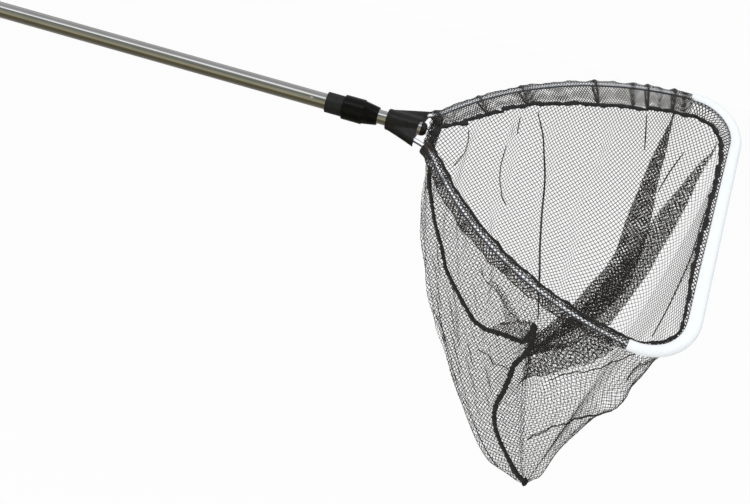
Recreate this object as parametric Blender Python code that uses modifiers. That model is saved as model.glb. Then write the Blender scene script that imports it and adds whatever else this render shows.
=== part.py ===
"""Pond net: telescopic twist-lock handle, moulded yoke, bent hoop and a hanging mesh bag.

Metres, +Z up. The handle lies along +X and the centre of its rear cap's flat end is the origin.
The hoop is rolled about the handle, so its mouth faces -Y and +Z, and the bag hangs towards -Z.
"""
import math

import bmesh
import bpy
from mathutils import Matrix, Vector

# Fits
CLEARANCE = 0.0003
SLIDE_CLEARANCE = 0.00025
MERGE = 0.00001

# Handle tubes
OUTER_TUBE_RADIUS = 0.011
OUTER_TUBE_WALL = 0.001
OUTER_TUBE_LENGTH = 0.600
INNER_TUBE_WALL = 0.001
EXPOSED_TUBE = 0.012
BUSH_REST = 0.025
TUBE_SIDES = 32
DIMPLE_RADIUS = 0.003
DIMPLE_DEPTH = 0.0006
DIMPLE_SETBACK = 0.020
DIMPLE_ANGLE = math.radians(14)

# Rear cap, guide bush and front plug
CAP_END = 0.006
CAP_WALL = 0.0015
CAP_SKIRT = 0.030
CAP_ROUND = 0.002
BUSH_FLANGE = 0.006
PLUG_SPIGOT = 0.012
PLUG_DOME = 0.011
PLUG_DOME_POINTS = 7

# Twist lock
FERRULE_WALL = 0.00305
FERRULE_LENGTH = 0.024
FERRULE_SOCKET = 0.020
FERRULE_ROUND = 0.003
SPIGOT_WALL = 0.00295
SPIGOT_LENGTH = 0.018
NUT_WALL = 0.0037
NUT_CHAMFER = 0.003
NUT_GRIP_LENGTH = 0.029
NUT_TAPER_LENGTH = 0.021
NUT_STEP = 0.0008
NUT_NOSE_WALL = 0.0023
NUT_FACETS = 10
COLLET_BASE = 0.006
COLLET_NOSE_WALL = 0.0011
COLLET_NOSE_GAP = 0.004
COLLET_SLOT = 0.0012

# Yoke
YOKE_LENGTH = 0.049
YOKE_NECK_WALL = 0.0047
YOKE_ARM_WALL = 0.0038
YOKE_FLUTE = 0.0008
YOKE_SCALLOP = 0.009
YOKE_REAR_SPREAD = 0.0081125
YOKE_REAR_LOBE = 0.006785
YOKE_STATIONS = 10
YOKE_ARC_POINTS = 9
ARM_HALF_SPACING = 0.0235
SOCKET_DEPTH = 0.020

# Screws in the back of the yoke
SCREW_RADIUS = 0.0014
SCREW_HEAD_RADIUS = 0.0029
SCREW_HEAD_HEIGHT = 0.002
SCREW_SEAT = 0.0022
SCREW_SIDES = 16
COUNTERBORE_SIDES = 20
ARM_SCREW_SETBACK = 0.010
TUBE_SCREW_SETBACK = 0.035

# Hoop
ROD_RADIUS = 0.00325
HOOP_ROLL = math.radians(45)
HOOP_SAG = math.radians(-4.1)
HOOP_DEPTH = 0.418
HOOP_HALF_WIDTH = 0.2123
CORNER_RADIUS = 0.065
SHOULDER_RADIUS = 0.050
ARM_EXIT_ANGLE = math.radians(15)
ARM_FRONT_ANGLE = math.radians(5)
SHOULDER_POINTS = 5
BEND_POINTS = 14
FRONT_POINTS = 4

# Bumper over the front bar and both corners
BUMPER_GAP = 0.0005
BUMPER_WALL = 0.0034
BUMPER_TAIL = 0.006
BUMPER_MOUTH = math.radians(26)

# Net: sleeve round the hoop, hem tape and bag
SLEEVE_START = 0.016
SLEEVE_WALL = 0.0008
SLEEVE_TAIL = 0.0014
SLEEVE_LIP_ANGLE = math.radians(8)
SLEEVE_MOUTH_ANGLE = math.radians(45)
SLEEVE_SIDES = 8
HEM_OFFSET = 0.011
HEM_WIDTH = 0.005
HEM_THICKNESS = 0.0024
HEM_CROSSING = 0.018
# Depth of the hem below the rod, by share of the upper arm's sleeve and by share of the bumper
HEM_UPPER_DEPTHS = ((0.0, 0.030), (0.10, 0.030), (0.16, 0.0255), (0.35, 0.028), (0.61, 0.0365),
                    (0.76, 0.0375), (1.0, 0.033))
HEM_FRONT_DEPTHS = ((0.0, 0.033), (0.065, 0.033), (0.19, 0.023), (0.285, 0.0175), (0.48, 0.020),
                    (0.61, 0.020), (0.765, 0.0165), (0.92, 0.012), (1.0, HEM_OFFSET))
BAG_THICKNESS = 0.001
BAG_TIP = Vector((0.2850, 0.0, -0.4600))
BAG_FULLNESS_FRONT = 1.27
BAG_FULLNESS_REAR = 1.93
BAG_ROUNDNESS_FRONT = 1.14
BAG_ROUNDNESS_REAR = 0.70
BAG_SEAM_GAP = 0.0008
BAG_RIM_POINTS = 200
BAG_STEP = 0.002

# Openings that stand for the netting: bars across each panel, and bars at levels from hem to tip
BAG_OPENINGS = 9
BAG_BAR = 0.008
BAG_BAR_LEVELS = (0.0, 0.115, 0.235, 0.36, 0.49, 0.625, 0.76)
BAG_BAR_DROP = 0.018
BAG_FOOT_LEVELS = (0.86, 0.92, 0.96, 0.985, 0.995)

# Rolled seam by share of the rim and level on the bag, and the sewn end at the tip
SEAM_ROUTE = ((0.985, 0.05), (0.963, 0.19), (0.933, 0.285), (0.898, 0.33), (0.870, 0.362), (0.827, 0.325),
              (0.796, 0.30), (0.797, 0.37), (0.817, 0.50), (0.847, 0.66), (0.864, 0.775), (0.855, 0.87),
              (0.840, 0.95))
SEAM_ROUNDS = 2
SEAM_GAP = 0.0014
SEAM_TAPE_WIDTH = 0.006
SEAM_TAPE_THICKNESS = 0.0012
GATHER_RADIUS = 0.0055
GATHER_LENGTH = 0.006
GATHER_WAIST = 0.0045
GATHER_WAIST_DROP = 0.0025
GATHER_END_RADIUS = 0.002
GATHER_SIDES = 16

# Sizes and places that follow from the ones above
INNER_TUBE_RADIUS = OUTER_TUBE_RADIUS - OUTER_TUBE_WALL - SLIDE_CLEARANCE
INNER_BORE = INNER_TUBE_RADIUS - INNER_TUBE_WALL
TUBE_PASSAGE = INNER_TUBE_RADIUS + CLEARANCE
FERRULE_RADIUS = OUTER_TUBE_RADIUS + CLEARANCE + FERRULE_WALL
SPIGOT_RADIUS = TUBE_PASSAGE + SPIGOT_WALL
NUT_BORE = SPIGOT_RADIUS + CLEARANCE
NUT_RADIUS = NUT_BORE + NUT_WALL
NECK_RADIUS = TUBE_PASSAGE + YOKE_NECK_WALL
SOCKET_RADIUS = ROD_RADIUS + CLEARANCE
LOBE_RADIUS = SOCKET_RADIUS + YOKE_ARM_WALL
YOKE_HALF_WIDTH = ARM_HALF_SPACING + LOBE_RADIUS
SCREW_HOLE = SCREW_RADIUS + CLEARANCE
SCREW_COUNTERBORE = SCREW_HEAD_RADIUS + CLEARANCE

TUBE_REAR = CAP_END + CLEARANCE
TUBE_FRONT = TUBE_REAR + OUTER_TUBE_LENGTH
FERRULE_REAR = TUBE_FRONT - FERRULE_SOCKET
FERRULE_FACE = FERRULE_REAR + FERRULE_LENGTH
NUT_REAR = FERRULE_FACE + CLEARANCE
NUT_SHOULDER = NUT_REAR + NUT_GRIP_LENGTH
NUT_FRONT = NUT_SHOULDER + NUT_TAPER_LENGTH
YOKE_REAR = NUT_FRONT + EXPOSED_TUBE
YOKE_FRONT = YOKE_REAR + YOKE_LENGTH
BUSH_REAR = TUBE_REAR + BUSH_REST
INNER_TUBE_REAR = BUSH_REAR + BUSH_FLANGE + CLEARANCE

PARTS = bpy.data.collections.new("pond_net")
CUTTERS = bpy.data.collections.new("cutters")
MATERIALS = {}


def clear_scene():
    for old in list(bpy.data.objects):
        bpy.data.objects.remove(old, do_unlink=True)
    for collection in (PARTS, CUTTERS):
        bpy.context.scene.collection.children.link(collection)


def material(name, colour, roughness, metallic):
    made = bpy.data.materials.new(name)
    made.use_nodes = True
    shader = made.node_tree.nodes["Principled BSDF"]
    shader.inputs["Base Color"].default_value = (*colour, 1.0)
    shader.inputs["Roughness"].default_value = roughness
    shader.inputs["Metallic"].default_value = metallic
    MATERIALS[name] = made


def make_materials():
    material("chrome", (0.72, 0.72, 0.70), 0.12, 1.0)
    material("black_plastic", (0.018, 0.018, 0.018), 0.45, 0.0)
    material("white_plastic", (0.86, 0.88, 0.90), 0.35, 0.0)
    material("rod_metal", (0.80, 0.82, 0.84), 0.30, 1.0)
    material("screw_steel", (0.60, 0.60, 0.60), 0.30, 1.0)
    material("black_mesh", (0.015, 0.015, 0.016), 0.85, 0.0)
    material("black_tape", (0.010, 0.010, 0.011), 0.90, 0.0)


def empty(name, location, rotation=(0.0, 0.0, 0.0)):
    made = bpy.data.objects.new(name, None)
    made.location = location
    made.rotation_euler = rotation
    PARTS.objects.link(made)
    return made


def add_part(name, data, finish, parent=None):
    made = bpy.data.objects.new(name, data)
    made.data.materials.append(MATERIALS[finish])
    made.parent = parent
    PARTS.objects.link(made)
    return made


def smooth(obj, angle=math.radians(35)):
    obj.data.shade_smooth()
    obj.data.set_sharp_from_angle(angle=angle)


def turn(obj, steps):
    screw = obj.modifiers.new("Turn", "SCREW")
    screw.axis = "Z"
    screw.steps = steps
    screw.render_steps = steps
    screw.use_merge_vertices = True
    screw.merge_threshold = MERGE


def profile_mesh(name, profile, closed):
    """Profile as (place along the axis, radius), running down the outer side."""
    mesh = bpy.data.meshes.new(name)
    count = len(profile)
    edges = [(k, k + 1) for k in range(count - 1)]
    if closed:
        edges.append((count - 1, 0))
    mesh.from_pydata([(radius, 0.0, along) for along, radius in profile], edges, [])
    return mesh


def turned_on_handle(name, profile, finish, parent=None, closed=True):
    """Piece turned about the handle's axis, its profile given in places along the handle."""
    base = parent.location.x if parent else 0.0
    local = [(along - base, radius) for along, radius in profile]
    made = add_part(name, profile_mesh(name, local, closed), finish, parent)
    made.rotation_euler = (0.0, math.pi / 2, 0.0)
    turn(made, TUBE_SIDES)
    return made


def ring_profile(rear, front, outer, inner):
    return [(front, outer), (rear, outer), (rear, inner), (front, inner)]


def cutter(name, mesh, parent=None):
    made = bpy.data.objects.new(name, mesh)
    made.parent = parent
    made.hide_render = True
    made.display_type = "WIRE"
    CUTTERS.objects.link(made)
    return made


def cylinder_mesh(name, start, end, radius, sides):
    """Closed cylinder between two points."""
    axis = Vector(end) - Vector(start)
    middle = (Vector(end) + Vector(start)) / 2
    place = Matrix.Translation(middle) @ axis.to_track_quat("Z", "Y").to_matrix().to_4x4()
    mesh = bpy.data.meshes.new(name)
    shape = bmesh.new()
    bmesh.ops.create_cone(shape, cap_ends=True, segments=sides, radius1=radius, radius2=radius,
                          depth=axis.length, matrix=place)
    shape.to_mesh(mesh)
    shape.free()
    return mesh


def box_mesh(name, low, high):
    low, high = Vector(low), Vector(high)
    place = Matrix.Translation((low + high) / 2) @ Matrix.Diagonal((*(high - low), 1.0))
    mesh = bpy.data.meshes.new(name)
    shape = bmesh.new()
    bmesh.ops.create_cube(shape, size=1.0, matrix=place)
    shape.to_mesh(mesh)
    shape.free()
    return mesh


def boolean(obj, tool, operation="DIFFERENCE"):
    cut = obj.modifiers.new(tool.name, "BOOLEAN")
    cut.operation = operation
    cut.solver = "EXACT"
    cut.object = tool


def lofted_mesh(name, rings, closed_path=False, holes=None):
    """Solid through rings of points; holes are the matching rings of a bore along it."""
    shape = bmesh.new()
    skin = [[shape.verts.new(point) for point in ring] for ring in rings]
    size = len(rings[0])
    spans = len(rings) if closed_path else len(rings) - 1

    def bridge(loops, flip):
        for k in range(spans):
            first, second = loops[k], loops[(k + 1) % len(loops)]
            for j in range(size):
                face = [first[j], first[(j + 1) % size], second[(j + 1) % size], second[j]]
                shape.faces.new(face[::-1] if flip else face)

    bridge(skin, False)
    if holes:
        bore = [[shape.verts.new(point) for point in ring] for ring in holes]
        bridge(bore, True)
        for outer, inner in ((skin[0], bore[0]), (skin[-1], bore[-1])):
            for j in range(size):
                shape.faces.new([outer[j], outer[(j + 1) % size], inner[(j + 1) % size], inner[j]])
    elif not closed_path:
        shape.faces.new(skin[0])
        shape.faces.new(skin[-1])
    bmesh.ops.recalc_face_normals(shape, faces=shape.faces)
    mesh = bpy.data.meshes.new(name)
    shape.to_mesh(mesh)
    shape.free()
    return mesh


# Handle


def make_handle():
    tube = turned_on_handle(
        "outer_tube",
        ring_profile(TUBE_REAR, TUBE_FRONT, OUTER_TUBE_RADIUS, OUTER_TUBE_RADIUS - OUTER_TUBE_WALL), "chrome")
    dimple_x = FERRULE_REAR - DIMPLE_SETBACK
    reach = OUTER_TUBE_RADIUS + DIMPLE_RADIUS - DIMPLE_DEPTH
    mesh = bpy.data.meshes.new("dimple_cutter")
    shape = bmesh.new()
    centre = (dimple_x, -reach * math.cos(DIMPLE_ANGLE), reach * math.sin(DIMPLE_ANGLE))
    bmesh.ops.create_uvsphere(shape, u_segments=16, v_segments=10, radius=DIMPLE_RADIUS,
                              matrix=Matrix.Translation(centre))
    shape.to_mesh(mesh)
    shape.free()
    boolean(tube, cutter("dimple_cutter", mesh))

    bore = OUTER_TUBE_RADIUS + CLEARANCE
    rim = bore + CAP_WALL
    mouth = TUBE_REAR + CAP_SKIRT
    turned_on_handle(
        "end_cap",
        [(CAP_END, 0.0), (CAP_END, bore), (mouth, bore), (mouth, rim),
         (CAP_ROUND, rim), (0.0, rim - CAP_ROUND), (0.0, 0.0)], "black_plastic", closed=False)


# Twist lock


def nut_seat(along):
    """Radius of the nut's conical seat at a place along the handle."""
    start = FERRULE_FACE + SPIGOT_LENGTH + COLLET_BASE
    end = NUT_FRONT - COLLET_NOSE_GAP
    share = min(max((along - start) / (end - start), 0.0), 1.0)
    nose = TUBE_PASSAGE + COLLET_NOSE_WALL + CLEARANCE
    return NUT_BORE + (nose - NUT_BORE) * share


def make_lock(nut_axis):
    face = FERRULE_FACE + SPIGOT_LENGTH
    bore = OUTER_TUBE_RADIUS + CLEARANCE
    stop = TUBE_FRONT + CLEARANCE
    turned_on_handle(
        "lock_ferrule",
        [(face, SPIGOT_RADIUS), (FERRULE_FACE, SPIGOT_RADIUS), (FERRULE_FACE, FERRULE_RADIUS),
         (FERRULE_REAR + FERRULE_ROUND, FERRULE_RADIUS),
         (FERRULE_REAR, bore + (FERRULE_WALL - FERRULE_ROUND / 2)),
         (FERRULE_REAR, bore), (stop, bore), (stop, TUBE_PASSAGE), (face, TUBE_PASSAGE)],
        "black_plastic")

    rear = face + CLEARANCE
    base = rear + COLLET_BASE
    nose = NUT_FRONT - COLLET_NOSE_GAP
    collet = turned_on_handle(
        "lock_collet",
        [(nose, nut_seat(nose) - CLEARANCE), (base, nut_seat(base) - CLEARANCE),
         (rear, SPIGOT_RADIUS), (rear, TUBE_PASSAGE), (nose, TUBE_PASSAGE)], "black_plastic")
    half = COLLET_SLOT / 2
    for name, low, high in (("slot_upright", (base, -half, -NUT_RADIUS), (NUT_FRONT, half, NUT_RADIUS)),
                            ("slot_level", (base, -NUT_RADIUS, -half), (NUT_FRONT, NUT_RADIUS, half))):
        boolean(collet, cutter(name, box_mesh(name, low, high)))

    nose_rim = TUBE_PASSAGE + NUT_NOSE_WALL
    shoulder = NUT_RADIUS - NUT_STEP
    seat_start = base
    nut = turned_on_handle(
        "lock_nut",
        [(NUT_FRONT, nose_rim), (NUT_SHOULDER, shoulder), (NUT_SHOULDER, NUT_RADIUS),
         (NUT_REAR + NUT_CHAMFER, NUT_RADIUS), (NUT_REAR, NUT_RADIUS - NUT_CHAMFER),
         (NUT_REAR, NUT_BORE), (seat_start, NUT_BORE), (nose, nut_seat(nose)),
         (nose, TUBE_PASSAGE), (NUT_FRONT, TUBE_PASSAGE)], "black_plastic", nut_axis)
    flat_share = math.cos(math.pi / NUT_FACETS)
    wide = 2 * NUT_RADIUS
    shell = profile_mesh("facet_envelope", [
        (NUT_FRONT + CLEARANCE - nut_axis.location.x, 0.0),
        (NUT_FRONT + CLEARANCE - nut_axis.location.x, nose_rim / flat_share),
        (NUT_SHOULDER - nut_axis.location.x, shoulder),
        (NUT_SHOULDER - nut_axis.location.x, wide),
        (NUT_REAR - CLEARANCE - nut_axis.location.x, wide),
        (NUT_REAR - CLEARANCE - nut_axis.location.x, 0.0)], False)
    envelope = cutter("facet_envelope", shell, nut_axis)
    envelope.rotation_euler = (0.0, math.pi / 2, 0.0)
    turn(envelope, NUT_FACETS)
    boolean(nut, envelope, "INTERSECT")


# Extension: inner tube, bush, plug, yoke and screws


def make_extension(extension):
    front = YOKE_FRONT
    rear = INNER_TUBE_REAR
    turned_on_handle(
        "inner_tube", ring_profile(rear, front, INNER_TUBE_RADIUS, INNER_BORE), "chrome", extension)

    spigot = INNER_BORE - CLEARANCE
    step = rear - CLEARANCE
    turned_on_handle(
        "guide_bush",
        [(rear + PLUG_SPIGOT, 0.0), (rear + PLUG_SPIGOT, spigot), (step, spigot), (step, INNER_TUBE_RADIUS),
         (BUSH_REAR, INNER_TUBE_RADIUS), (BUSH_REAR, 0.0)],
        "black_plastic", extension, closed=False)

    lip = front + CLEARANCE
    quarter = [math.pi / 2 * k / (PLUG_DOME_POINTS - 1) for k in range(PLUG_DOME_POINTS)]
    dome = [(lip + PLUG_DOME * math.cos(angle), INNER_TUBE_RADIUS * math.sin(angle)) for angle in quarter]
    turned_on_handle(
        "tube_plug",
        dome + [(lip, spigot), (front - PLUG_SPIGOT, spigot), (front - PLUG_SPIGOT, 0.0)],
        "black_plastic", extension, closed=False)


def arc_of(centre, radius, start, end, count):
    angles = [start + (end - start) * k / (count - 1) for k in range(count)]
    return [Vector((centre[0] + radius * math.cos(a), centre[1] + radius * math.sin(a))) for a in angles]


def yoke_section(share):
    """Outline across the yoke: a centre boss and two arm lobes joined by shallow flutes."""
    spread = YOKE_REAR_SPREAD + (ARM_HALF_SPACING - YOKE_REAR_SPREAD) * share
    lobe = YOKE_REAR_LOBE + (LOBE_RADIUS - YOKE_REAR_LOBE) * share
    tangent = math.acos((NECK_RADIUS - lobe) / spread)
    right = arc_of((spread, 0.0), lobe, -tangent, tangent, YOKE_ARC_POINTS)
    top = arc_of((0.0, 0.0), NECK_RADIUS, tangent, math.pi - tangent, YOKE_ARC_POINTS)
    left = [Vector((-p.x, p.y)) for p in reversed(right)]
    bottom = [Vector((p.x, -p.y)) for p in reversed(top)]
    outline = []
    arcs = (right, top, left, bottom)
    for k, stretch in enumerate(arcs):
        outline += stretch
        after = arcs[(k + 1) % 4][0]
        middle = (stretch[-1] + after) / 2
        outline.append(middle * (1.0 - YOKE_FLUTE * share / middle.length))
    return outline


def make_yoke(plane):
    rings = []
    for k in range(YOKE_STATIONS + 1):
        share = k / YOKE_STATIONS
        along = -YOKE_LENGTH * (1.0 - share)
        rings.append([(along, p.x, p.y) for p in yoke_section(share)])
    yoke = add_part("yoke", lofted_mesh("yoke", rings), "black_plastic", plane)
    smooth(yoke)
    deep = 2 * NECK_RADIUS
    chord = YOKE_HALF_WIDTH
    scoop = (chord ** 2 + YOKE_SCALLOP ** 2) / (2 * YOKE_SCALLOP)
    centre = scoop - YOKE_SCALLOP
    boolean(yoke, cutter("scallop", cylinder_mesh(
        "scallop", (centre, 0, -deep), (centre, 0, deep), scoop, 64), plane))
    boolean(yoke, cutter("tube_bore", cylinder_mesh(
        "tube_bore", (-2 * YOKE_LENGTH, 0, 0), (YOKE_LENGTH, 0, 0), TUBE_PASSAGE, TUBE_SIDES), plane))

    lean = math.tan(ARM_EXIT_ANGLE)
    for side, arm in ((1, "upper"), (-1, "lower")):
        depth = SOCKET_DEPTH + CLEARANCE
        start = (-depth, side * (ARM_HALF_SPACING - depth * lean), 0)
        end = (SOCKET_DEPTH, side * (ARM_HALF_SPACING + SOCKET_DEPTH * lean), 0)
        name = "arm_socket_" + arm
        boolean(yoke, cutter(name, cylinder_mesh(name, start, end, SOCKET_RADIUS, COUNTERBORE_SIDES), plane))
        place = (-ARM_SCREW_SETBACK, side * (ARM_HALF_SPACING - ARM_SCREW_SETBACK * lean))
        make_screw("arm_screw_" + arm, yoke, plane, place, SOCKET_RADIUS)
    make_screw("tube_screw", yoke, plane, (-TUBE_SCREW_SETBACK, 0.0), TUBE_PASSAGE)


def make_screw(name, yoke, plane, place, tip):
    """Screw from the back of the yoke, its tip against what lies tip away from the mid plane."""
    x, y = place
    seat = tip + SCREW_SEAT
    below = -3 * NECK_RADIUS
    boolean(yoke, cutter(name + "_counterbore", cylinder_mesh(
        name + "_counterbore", (x, y, below), (x, y, -seat), SCREW_COUNTERBORE, COUNTERBORE_SIDES), plane))
    boolean(yoke, cutter(name + "_hole", cylinder_mesh(
        name + "_hole", (x, y, below), (x, y, -tip / 2), SCREW_HOLE, SCREW_SIDES), plane))
    under = -seat - CLEARANCE
    profile = [(-tip, 0.0), (-tip, SCREW_RADIUS), (under, SCREW_RADIUS), (under, SCREW_HEAD_RADIUS),
               (under - SCREW_HEAD_HEIGHT, SCREW_HEAD_RADIUS), (under - SCREW_HEAD_HEIGHT, 0.0)]
    screw = add_part(name, profile_mesh(name, profile, False), "screw_steel", plane)
    screw.location = (x, y, 0.0)
    turn(screw, SCREW_SIDES)


# Hoop outline in its own plane: x along the handle from the yoke's front, y towards the upper arm


def turned_by(point, angle):
    return Vector((point.x * math.cos(angle) - point.y * math.sin(angle),
                   point.x * math.sin(angle) + point.y * math.cos(angle)))


def bend(start, heading, turn_by, radius, count):
    """Points after start along an arc that turns the heading by turn_by."""
    side = math.copysign(1.0, turn_by)

    def foot(angle):
        return Vector((-math.sin(angle), math.cos(angle))) * radius * side

    centre = start + foot(heading)
    return [centre - foot(heading + turn_by * k / count) for k in range(1, count + 1)]


def half_hoop(side):
    """Arm, then corner and half front bar; the spread angle is the one that reaches the corner."""
    sag = side * HOOP_SAG
    start = turned_by(Vector((0.0, ARM_HALF_SPACING)), -sag)
    heading = ARM_EXIT_ANGLE - sag
    spread = math.radians(50)
    for _ in range(40):
        shoulder = bend(start, heading, spread - heading, SHOULDER_RADIUS, SHOULDER_POINTS)
        reach = HOOP_DEPTH - shoulder[-1].x - CORNER_RADIUS * (1.0 + math.sin(ARM_FRONT_ANGLE))
        rise = HOOP_HALF_WIDTH - shoulder[-1].y - CORNER_RADIUS * (1.0 - math.cos(ARM_FRONT_ANGLE))
        spread = 2 * math.atan2(rise, reach) - ARM_FRONT_ANGLE
    flank = reach / (math.sin(spread) - math.sin(ARM_FRONT_ANGLE))
    arm = [start] + shoulder
    arm += bend(arm[-1], spread, ARM_FRONT_ANGLE - spread, flank, BEND_POINTS)
    corner = bend(arm[-1], ARM_FRONT_ANGLE, -math.pi / 2 - ARM_FRONT_ANGLE, CORNER_RADIUS, BEND_POINTS)
    middle = Vector((HOOP_DEPTH, 0.0))
    front = [corner[-1].lerp(middle, k / FRONT_POINTS) for k in range(1, FRONT_POINTS + 1)]

    def to_yoke(points):
        return [turned_by(Vector((p.x, side * p.y)), HOOP_SAG) for p in points]

    return to_yoke(arm), to_yoke(corner + front)


def between(marks, at):
    """Value at a place among marks of place and value, straight from mark to mark."""
    for (start, first), (end, second) in zip(marks, marks[1:]):
        if at <= end:
            return first + (second - first) * max(at - start, 0.0) / (end - start)
    return marks[-1][1]


def path_lengths(points):
    lengths = [0.0]
    for first, second in zip(points, points[1:]):
        lengths.append(lengths[-1] + (second - first).length)
    return lengths


class HoopPath:
    """Stations along the hoop, from the upper socket round the front to the lower socket."""

    def __init__(self):
        lean = math.tan(ARM_EXIT_ANGLE)
        upper_arm, upper_front = half_hoop(1)
        lower_arm, lower_front = half_hoop(-1)
        upper_foot = Vector((-SOCKET_DEPTH, ARM_HALF_SPACING - SOCKET_DEPTH * lean))
        lower_foot = Vector((upper_foot.x, -upper_foot.y))
        points = [upper_foot] + upper_arm + upper_front
        points += lower_front[-2::-1] + lower_arm[::-1] + [lower_foot]
        lengths = path_lengths(points)
        total = lengths[-1]
        upper_corner = lengths[len(upper_arm)]
        lower_corner = lengths[-1 - len(lower_arm)]
        exit_length = lengths[1]
        self.sleeve = (exit_length + SLEEVE_START, total - exit_length - SLEEVE_START)
        self.bumper = (upper_corner - BUMPER_TAIL, lower_corner + BUMPER_TAIL)
        breaks = [*self.sleeve, *self.bumper, self.bumper[0] - CLEARANCE, self.bumper[1] + CLEARANCE]
        for length in breaks:
            k = next(i for i, other in enumerate(lengths) if other > length)
            share = (length - lengths[k - 1]) / (lengths[k] - lengths[k - 1])
            points.insert(k, points[k - 1].lerp(points[k], share))
            lengths.insert(k, length)
        self.points, self.lengths = points, lengths

    def stations(self, start, end):
        """Length, point and inward direction of each station between two lengths."""
        near = MERGE / 10
        found = []
        last = len(self.points) - 1
        for k, (length, point) in enumerate(zip(self.lengths, self.points)):
            if start - near <= length <= end + near:
                along = (self.points[min(k + 1, last)] - self.points[max(k - 1, 0)]).normalized()
                found.append((length, point, Vector((along.y, -along.x))))
        return found

    def hem_offset(self, length):
        """Distance from the rod to the hem: the upper arm's sleeve hangs deeper than the rest."""
        if length <= self.bumper[0]:
            start, end = self.sleeve[0], self.bumper[0]
            return between(HEM_UPPER_DEPTHS, (length - start) / (end - start))
        start, end = self.bumper
        return between(HEM_FRONT_DEPTHS, (length - start) / (end - start))


def make_rod(path, plane):
    curve = bpy.data.curves.new("hoop_rod", "CURVE")
    curve.dimensions = "3D"
    curve.bevel_depth = ROD_RADIUS
    curve.bevel_resolution = 2
    curve.use_fill_caps = True
    spline = curve.splines.new("POLY")
    spline.points.add(len(path.points) - 1)
    for spot, point in zip(spline.points, path.points):
        spot.co = (point.x, point.y, 0.0, 1.0)
    add_part("hoop_rod", curve, "rod_metal", plane)


def section_rings(stations, section):
    """Rings in the hoop's plane; section gives (inward, outward of plane) points for a length."""
    rings = []
    for length, point, inward in stations:
        ring = []
        for into, out in section(length):
            place = point + inward * into
            ring.append((place.x, place.y, out))
        rings.append(ring)
    return rings


def make_bumper(path, plane):
    inner = ROD_RADIUS + BUMPER_GAP
    outer = inner + BUMPER_WALL

    def section(_length):
        wall = arc_of((0, 0), outer, BUMPER_MOUTH, 2 * math.pi - BUMPER_MOUTH, 11)
        return wall + arc_of((0, 0), inner, 2 * math.pi - BUMPER_MOUTH, BUMPER_MOUTH, 9)

    rings = section_rings(path.stations(*path.bumper), section)
    bumper = add_part("front_bumper", lofted_mesh("front_bumper", rings), "white_plastic", plane)
    smooth(bumper)


def make_sleeves(path, plane):
    step = (2 * math.pi - 2 * SLEEVE_MOUTH_ANGLE) / (SLEEVE_SIDES - 1)
    angles = [SLEEVE_LIP_ANGLE]
    angles += [SLEEVE_MOUTH_ANGLE + step * k for k in range(SLEEVE_SIDES)]
    angles.append(2 * math.pi - SLEEVE_LIP_ANGLE)
    bore = (ROD_RADIUS + CLEARANCE) / math.cos(step / 2)
    skin = bore + SLEEVE_WALL

    def tail(length):
        return path.hem_offset(length) - HEM_WIDTH / 2 - 2 * CLEARANCE

    def outside(length):
        half = SLEEVE_TAIL / 2
        round_part = [(skin * math.cos(a), skin * math.sin(a)) for a in angles[1:-1]]
        return [(tail(length), half)] + round_part + [(tail(length), -half)]

    def inside(_length):
        return [(bore * math.cos(a), bore * math.sin(a)) for a in angles]

    runs = (("sleeve_upper", path.sleeve[0], path.bumper[0] - CLEARANCE),
            ("sleeve_lower", path.bumper[1] + CLEARANCE, path.sleeve[1]))
    for name, start, end in runs:
        stations = path.stations(start, end)
        mesh = lofted_mesh(name, section_rings(stations, outside), holes=section_rings(stations, inside))
        smooth(add_part(name, mesh, "black_mesh", plane))

    def strip(length):
        half = SLEEVE_TAIL / 2
        root = ROD_RADIUS + CLEARANCE
        return [(root, -half), (tail(length), -half), (tail(length), half), (root, half)]

    mesh = lofted_mesh("sleeve_front", section_rings(path.stations(*path.bumper), strip))
    add_part("sleeve_front", mesh, "black_mesh", plane)


def hem_loop(path):
    """Points of the hem round the mouth, from the crossing before the yoke along the upper arm."""
    loop = []
    for length, point, inward in path.stations(*path.sleeve):
        spot = point + inward * path.hem_offset(length)
        if spot.x > HEM_CROSSING:
            loop.append(spot)
    middle = Vector((HEM_CROSSING, (loop[0].y + loop[-1].y) / 2))
    return [middle] + loop


def make_hem(points, plane):
    rings = []
    count = len(points)
    for k, point in enumerate(points):
        along = (points[(k + 1) % count] - points[k - 1]).normalized()
        inward = Vector((along.y, -along.x))
        ring = []
        for into, out in ((-1, -1), (1, -1), (1, 1), (-1, 1)):
            place = point + inward * into * HEM_WIDTH / 2
            ring.append((place.x, place.y, out * HEM_THICKNESS / 2))
        rings.append(ring)
    add_part("hem_tape", lofted_mesh("hem_tape", rings, closed_path=True), "black_tape", plane)


# Bag


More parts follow.
